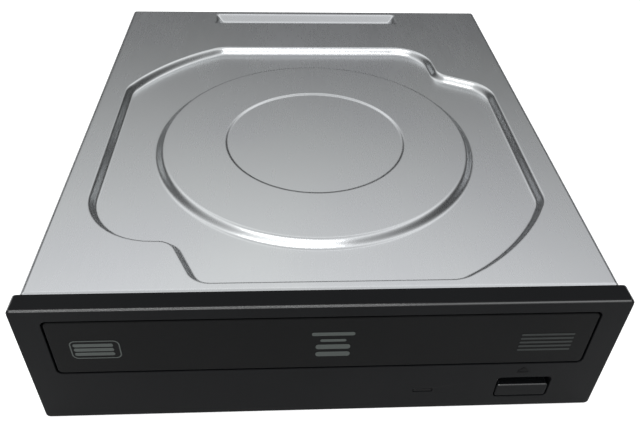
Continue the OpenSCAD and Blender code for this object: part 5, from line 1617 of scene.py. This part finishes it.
@dataclass
class Pickup:
    """The lens, its four wires, and the thread that moves the sled."""

    lens_y: float = 11.0
    lens_radius: float = 2.1
    lens_low: float = 23.6
    dome: float = 3.0
    wire: Place = (0.12, 10.0, 0.12)
    wire_x: float = 8.35
    wire_y: float = 14.4
    holder_y: float = 19.2
    wire_levels: Sequence[float] = (21.9, 23.3)
    screw_x: float = 34.6
    screw_z: float = 16.2
    screw_radius: float = 1.5
    screw_span: Point = (-6.4, 55.2)
    pitch: float = 1.5
    ridge: float = 0.22

    def lens(self) -> bpy.types.Object:
        """Return the objective lens with its domed top and its flat rim."""
        skin = Skin()
        middle = self.lens_low + 1.0 - math.sqrt(self.dome**2 - self.lens_radius**2)
        edge = math.degrees(math.atan2(self.lens_low + 1.0 - middle, self.lens_radius))
        dome = arc_points((0.0, middle), self.dome, edge, 89.0, 14)
        profile = [(self.lens_radius - 0.1, self.lens_low), (self.lens_radius, self.lens_low + 0.1)]
        profile += [(self.lens_radius, self.lens_low + 0.95), *dome]
        turned(skin, profile, (0.0, self.lens_y), 64)
        return smoothed(skin.make("lens_dome"), ROUND_CREASE)

    def wires(self, finish: bpy.types.Material) -> bpy.types.Object:
        """Return the four fine wires that carry the lens."""
        tree = bar_rows()
        low, high = self.wire_levels
        made = []
        for side in (-1, 1):
            values = {
                "Count": 2,
                "Start": metres(side * self.wire_x, self.wire_y, low),
                "Step": metres(0.0, 0.0, high - low),
                "Bar": metres(*self.wire),
                "Finish": finish,
            }
            made.append(tree.bake(f"wires_{side}", values))
        return joined("lens_wires", made)

    def wire_ends(self) -> bpy.types.Object:
        """Return the blocks that hold the wires' far ends."""
        skin = Skin()
        for side in (-1, 1):
            sections = [(0.9, 0.7, 0.2, 19.4), (0.9, 0.7, 0.2, 23.7), (0.75, 0.55, 0.2, 23.85)]
            block(skin, (side * self.wire_x, self.holder_y), sections)
        return smoothed(skin.make("wire_blocks"), CREASE)

    def thread(self, finish: bpy.types.Material) -> bpy.types.Object:
        """Return the round thread of the lead screw."""
        start, end = self.screw_span
        values = {
            "Turns": (end - start) / self.pitch,
            "Radius": (self.screw_radius - 0.05) * MM,
            "Length": (end - start) * MM,
            "Ridge": self.ridge * MM,
            "Place": metres(self.screw_x, start, self.screw_z),
            "Finish": finish,
        }
        return helix_ridge().bake("screw_thread", values)

    def build(self, drive: Drive) -> None:
        """Make and place the pickup's fine pieces."""
        steel = drive.materials["rod_steel"]
        gold = drive.finish("gilt", GOLD)
        drive.place(self.lens(), Body.LENS, "lens_glass", replaces=["objective_lens"])
        drive.place(self.wires(gold), Body.SLED, "coil", gold)
        drive.place(self.wire_ends(), Body.SLED, "frame_black")
        drive.place(self.thread(steel), Body.SCREW, "rod_steel")


@dataclass
class SpindleCoils:
    """The wire wound round the poles of the disc motor."""

    axis: Point = (0.0, -13.0)
    level: float = 20.0
    poles: int = 9
    middle: float = 9.05
    coil: float = 1.75
    wire: float = 0.17

    def build(self, drive: Drive) -> None:
        """Make and place the windings."""
        finish = drive.finish("bare_copper", Metal((0.62, 0.25, 0.10), 0.3))
        values = {
            "Poles": self.poles,
            "Middle radius": self.middle * MM,
            "Coil width": self.coil * MM,
            "Wire": self.wire * MM,
            "Place": metres(*self.axis, self.level),
            "Finish": finish,
        }
        drive.place(pole_windings().bake("pole_wire", values), Body.DECK, "coil", finish)


# The studio


@dataclass
class Studio:
    """Floor, sky, lamps and camera."""

    place: Place = (-10.05, -190.76, 158.62)
    right: Place = (0.99851472, -0.04752232, 0.02664565)
    above: Place = (0.0098437, 0.63837758, 0.76966042)
    behind: Place = (-0.05358604, -0.76825496, 0.63789721)
    focal_px: float = 666.87
    width_px: int = 640
    sensor: float = 36.0
    reach: Point = (0.01, 20.0)
    lamps: Sequence[Lamp] = (
        ("front_softbox", (-0.25, -0.9, 0.35), (0.0, 0.0, 0.02), (0.9, 0.5), 0.9),
        ("overhead_strip", (-0.2, -0.62, 0.68), (0.0, -0.05, 0.03), (0.85, 0.09), 1.9),
    )
    floor_half: float = 6.0
    floor_opening: Place = (0.071, -0.078, 0.0838)
    floor_seen: float = 0.6
    floor_mirrored: float = 0.25
    below: float = 0.62
    lean: float = 0.06
    bowl: float = 0.1
    tint: Colour = (0.992, 1.0, 1.005)
    glow: Sequence[Point] = (
        (0.0, 0.08),
        (0.27, 0.05),
        (0.37, 0.07),
        (0.425, 0.13),
        (0.475, 0.28),
        (0.53, 0.47),
        (0.6, 0.70),
        (0.665, 0.88),
        (0.72, 1.22),
        (0.81, 1.33),
        (0.9, 0.95),
        (1.0, 0.75),
    )

    def build(self) -> None:
        """Make the stage."""
        self.camera()
        self.floor()
        self.sky()
        for lamp in self.lamps:
            self.lamp(*lamp)
        bpy.context.scene.view_settings.view_transform = "Standard"

    def camera(self) -> None:
        """Set the camera where the photograph was taken."""
        data = bpy.data.cameras.new("camera")
        data.sensor_width = self.sensor
        data.lens = self.sensor * self.focal_px / self.width_px
        data.clip_start, data.clip_end = self.reach
        made = bpy.data.objects.new("camera", data)
        axes = Matrix((self.right, self.above, self.behind)).transposed()
        made.matrix_world = Matrix.Translation(Vector(self.place) * MM) @ axes.to_4x4()
        bpy.context.scene.collection.objects.link(made)
        bpy.context.scene.camera = made

    def floor(self) -> None:
        """Make the pale floor, open under the case so that the underside is lit from below."""
        half = self.floor_half
        x, y0, y1 = self.floor_opening
        mesh = bpy.data.meshes.new("floor")
        outer = [(-half, -half, 0), (half, -half, 0), (half, half, 0), (-half, half, 0)]
        inner = [(-x, y0, 0), (x, y0, 0), (x, y1, 0), (-x, y1, 0)]
        sides = [(i, (i + 1) % 4, (i + 1) % 4 + 4, i + 4) for i in range(4)]
        mesh.from_pydata(outer + inner, [], sides)
        floor = linked("floor", mesh)
        material, graph = new_graph("floor_paper")
        rays = graph.node("ShaderNodeLightPath").outputs
        seen = Value(graph, rays["Is Camera Ray"]) * self.floor_seen
        seen = seen + Value(graph, rays["Is Glossy Ray"]) * self.floor_mirrored
        seen = seen + Value(graph, rays["Is Transmission Ray"]) * self.floor_seen
        paper = graph.result("ShaderNodeBsdfDiffuse", {"Color": (0.8, 0.8, 0.8, 1.0)})
        white = {"Color": (1.0, 1.0, 1.0, 1.0), "Strength": seen}
        both = {0: paper, 1: graph.result("ShaderNodeEmission", white)}
        front = graph.result("ShaderNodeAddShader", both)
        behind = graph.node("ShaderNodeNewGeometry").outputs["Backfacing"]
        clear = graph.result("ShaderNodeBsdfTransparent")
        shown = graph.result("ShaderNodeMixShader", {0: behind, 1: front, 2: clear})
        graph.node("ShaderNodeOutputMaterial", {"Surface": shown})
        mesh.materials.append(material)
        floor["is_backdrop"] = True

    def sky(self) -> None:
        """Make a soft sky that brightens towards the zenith."""
        world = bpy.data.worlds.new("studio")
        world.use_nodes = True
        bpy.context.scene.world = world
        graph = Graph(world.node_tree)
        directions = graph.node("ShaderNodeTexCoord").outputs["Generated"]
        across, _, height = graph.axes(directions)
        level = height.or_more(height * -self.below) - across * self.lean
        level = level + across * across * self.bowl
        stops = [(up, tuple(light * part for part in self.tint)) for up, light in self.glow]
        ramp = graph.result("ShaderNodeValToRGB", {0: level}, stops=stops)
        camera = graph.node("ShaderNodeLightPath").outputs["Is Camera Ray"]
        seen = graph.blend(camera, ramp, (1.0, 1.0, 1.0))
        light = graph.result("ShaderNodeBackground", {"Color": seen, "Strength": 1.0})
        graph.node("ShaderNodeOutputWorld", {"Surface": light})

    def lamp(self, name: str, place: Place, target: Place, size: Point, power: float) -> None:
        """Add a rectangular lamp that faces a target."""
        data = bpy.data.lights.new(name, "AREA")
        data.shape = "RECTANGLE"
        data.size, data.size_y = size
        data.energy = power
        made = bpy.data.objects.new(name, data)
        aim = (Vector(target) - Vector(place)).to_track_quat("-Z", "Y")
        made.matrix_world = Matrix.Translation(Vector(place)) @ aim.to_matrix().to_4x4()
        bpy.context.scene.collection.objects.link(made)


def main() -> None:
    """Build the drive's look and report each piece."""
    logging.basicConfig(level=logging.INFO, format="%(name)s: %(message)s")
    drive = Drive()
    Studio().build()
    drive.dress_solids()
    drive.place(PressedCover().make(), Body.HOUSING, "cover_steel", replaces=["top_cover"])
    FrontPanel().build(drive)
    Electronics().build(drive)
    Pickup().build(drive)
    SpindleCoils().build(drive)
    drive.soften_rest(SOFT_EDGES)


if __name__ == "__main__":
    main()
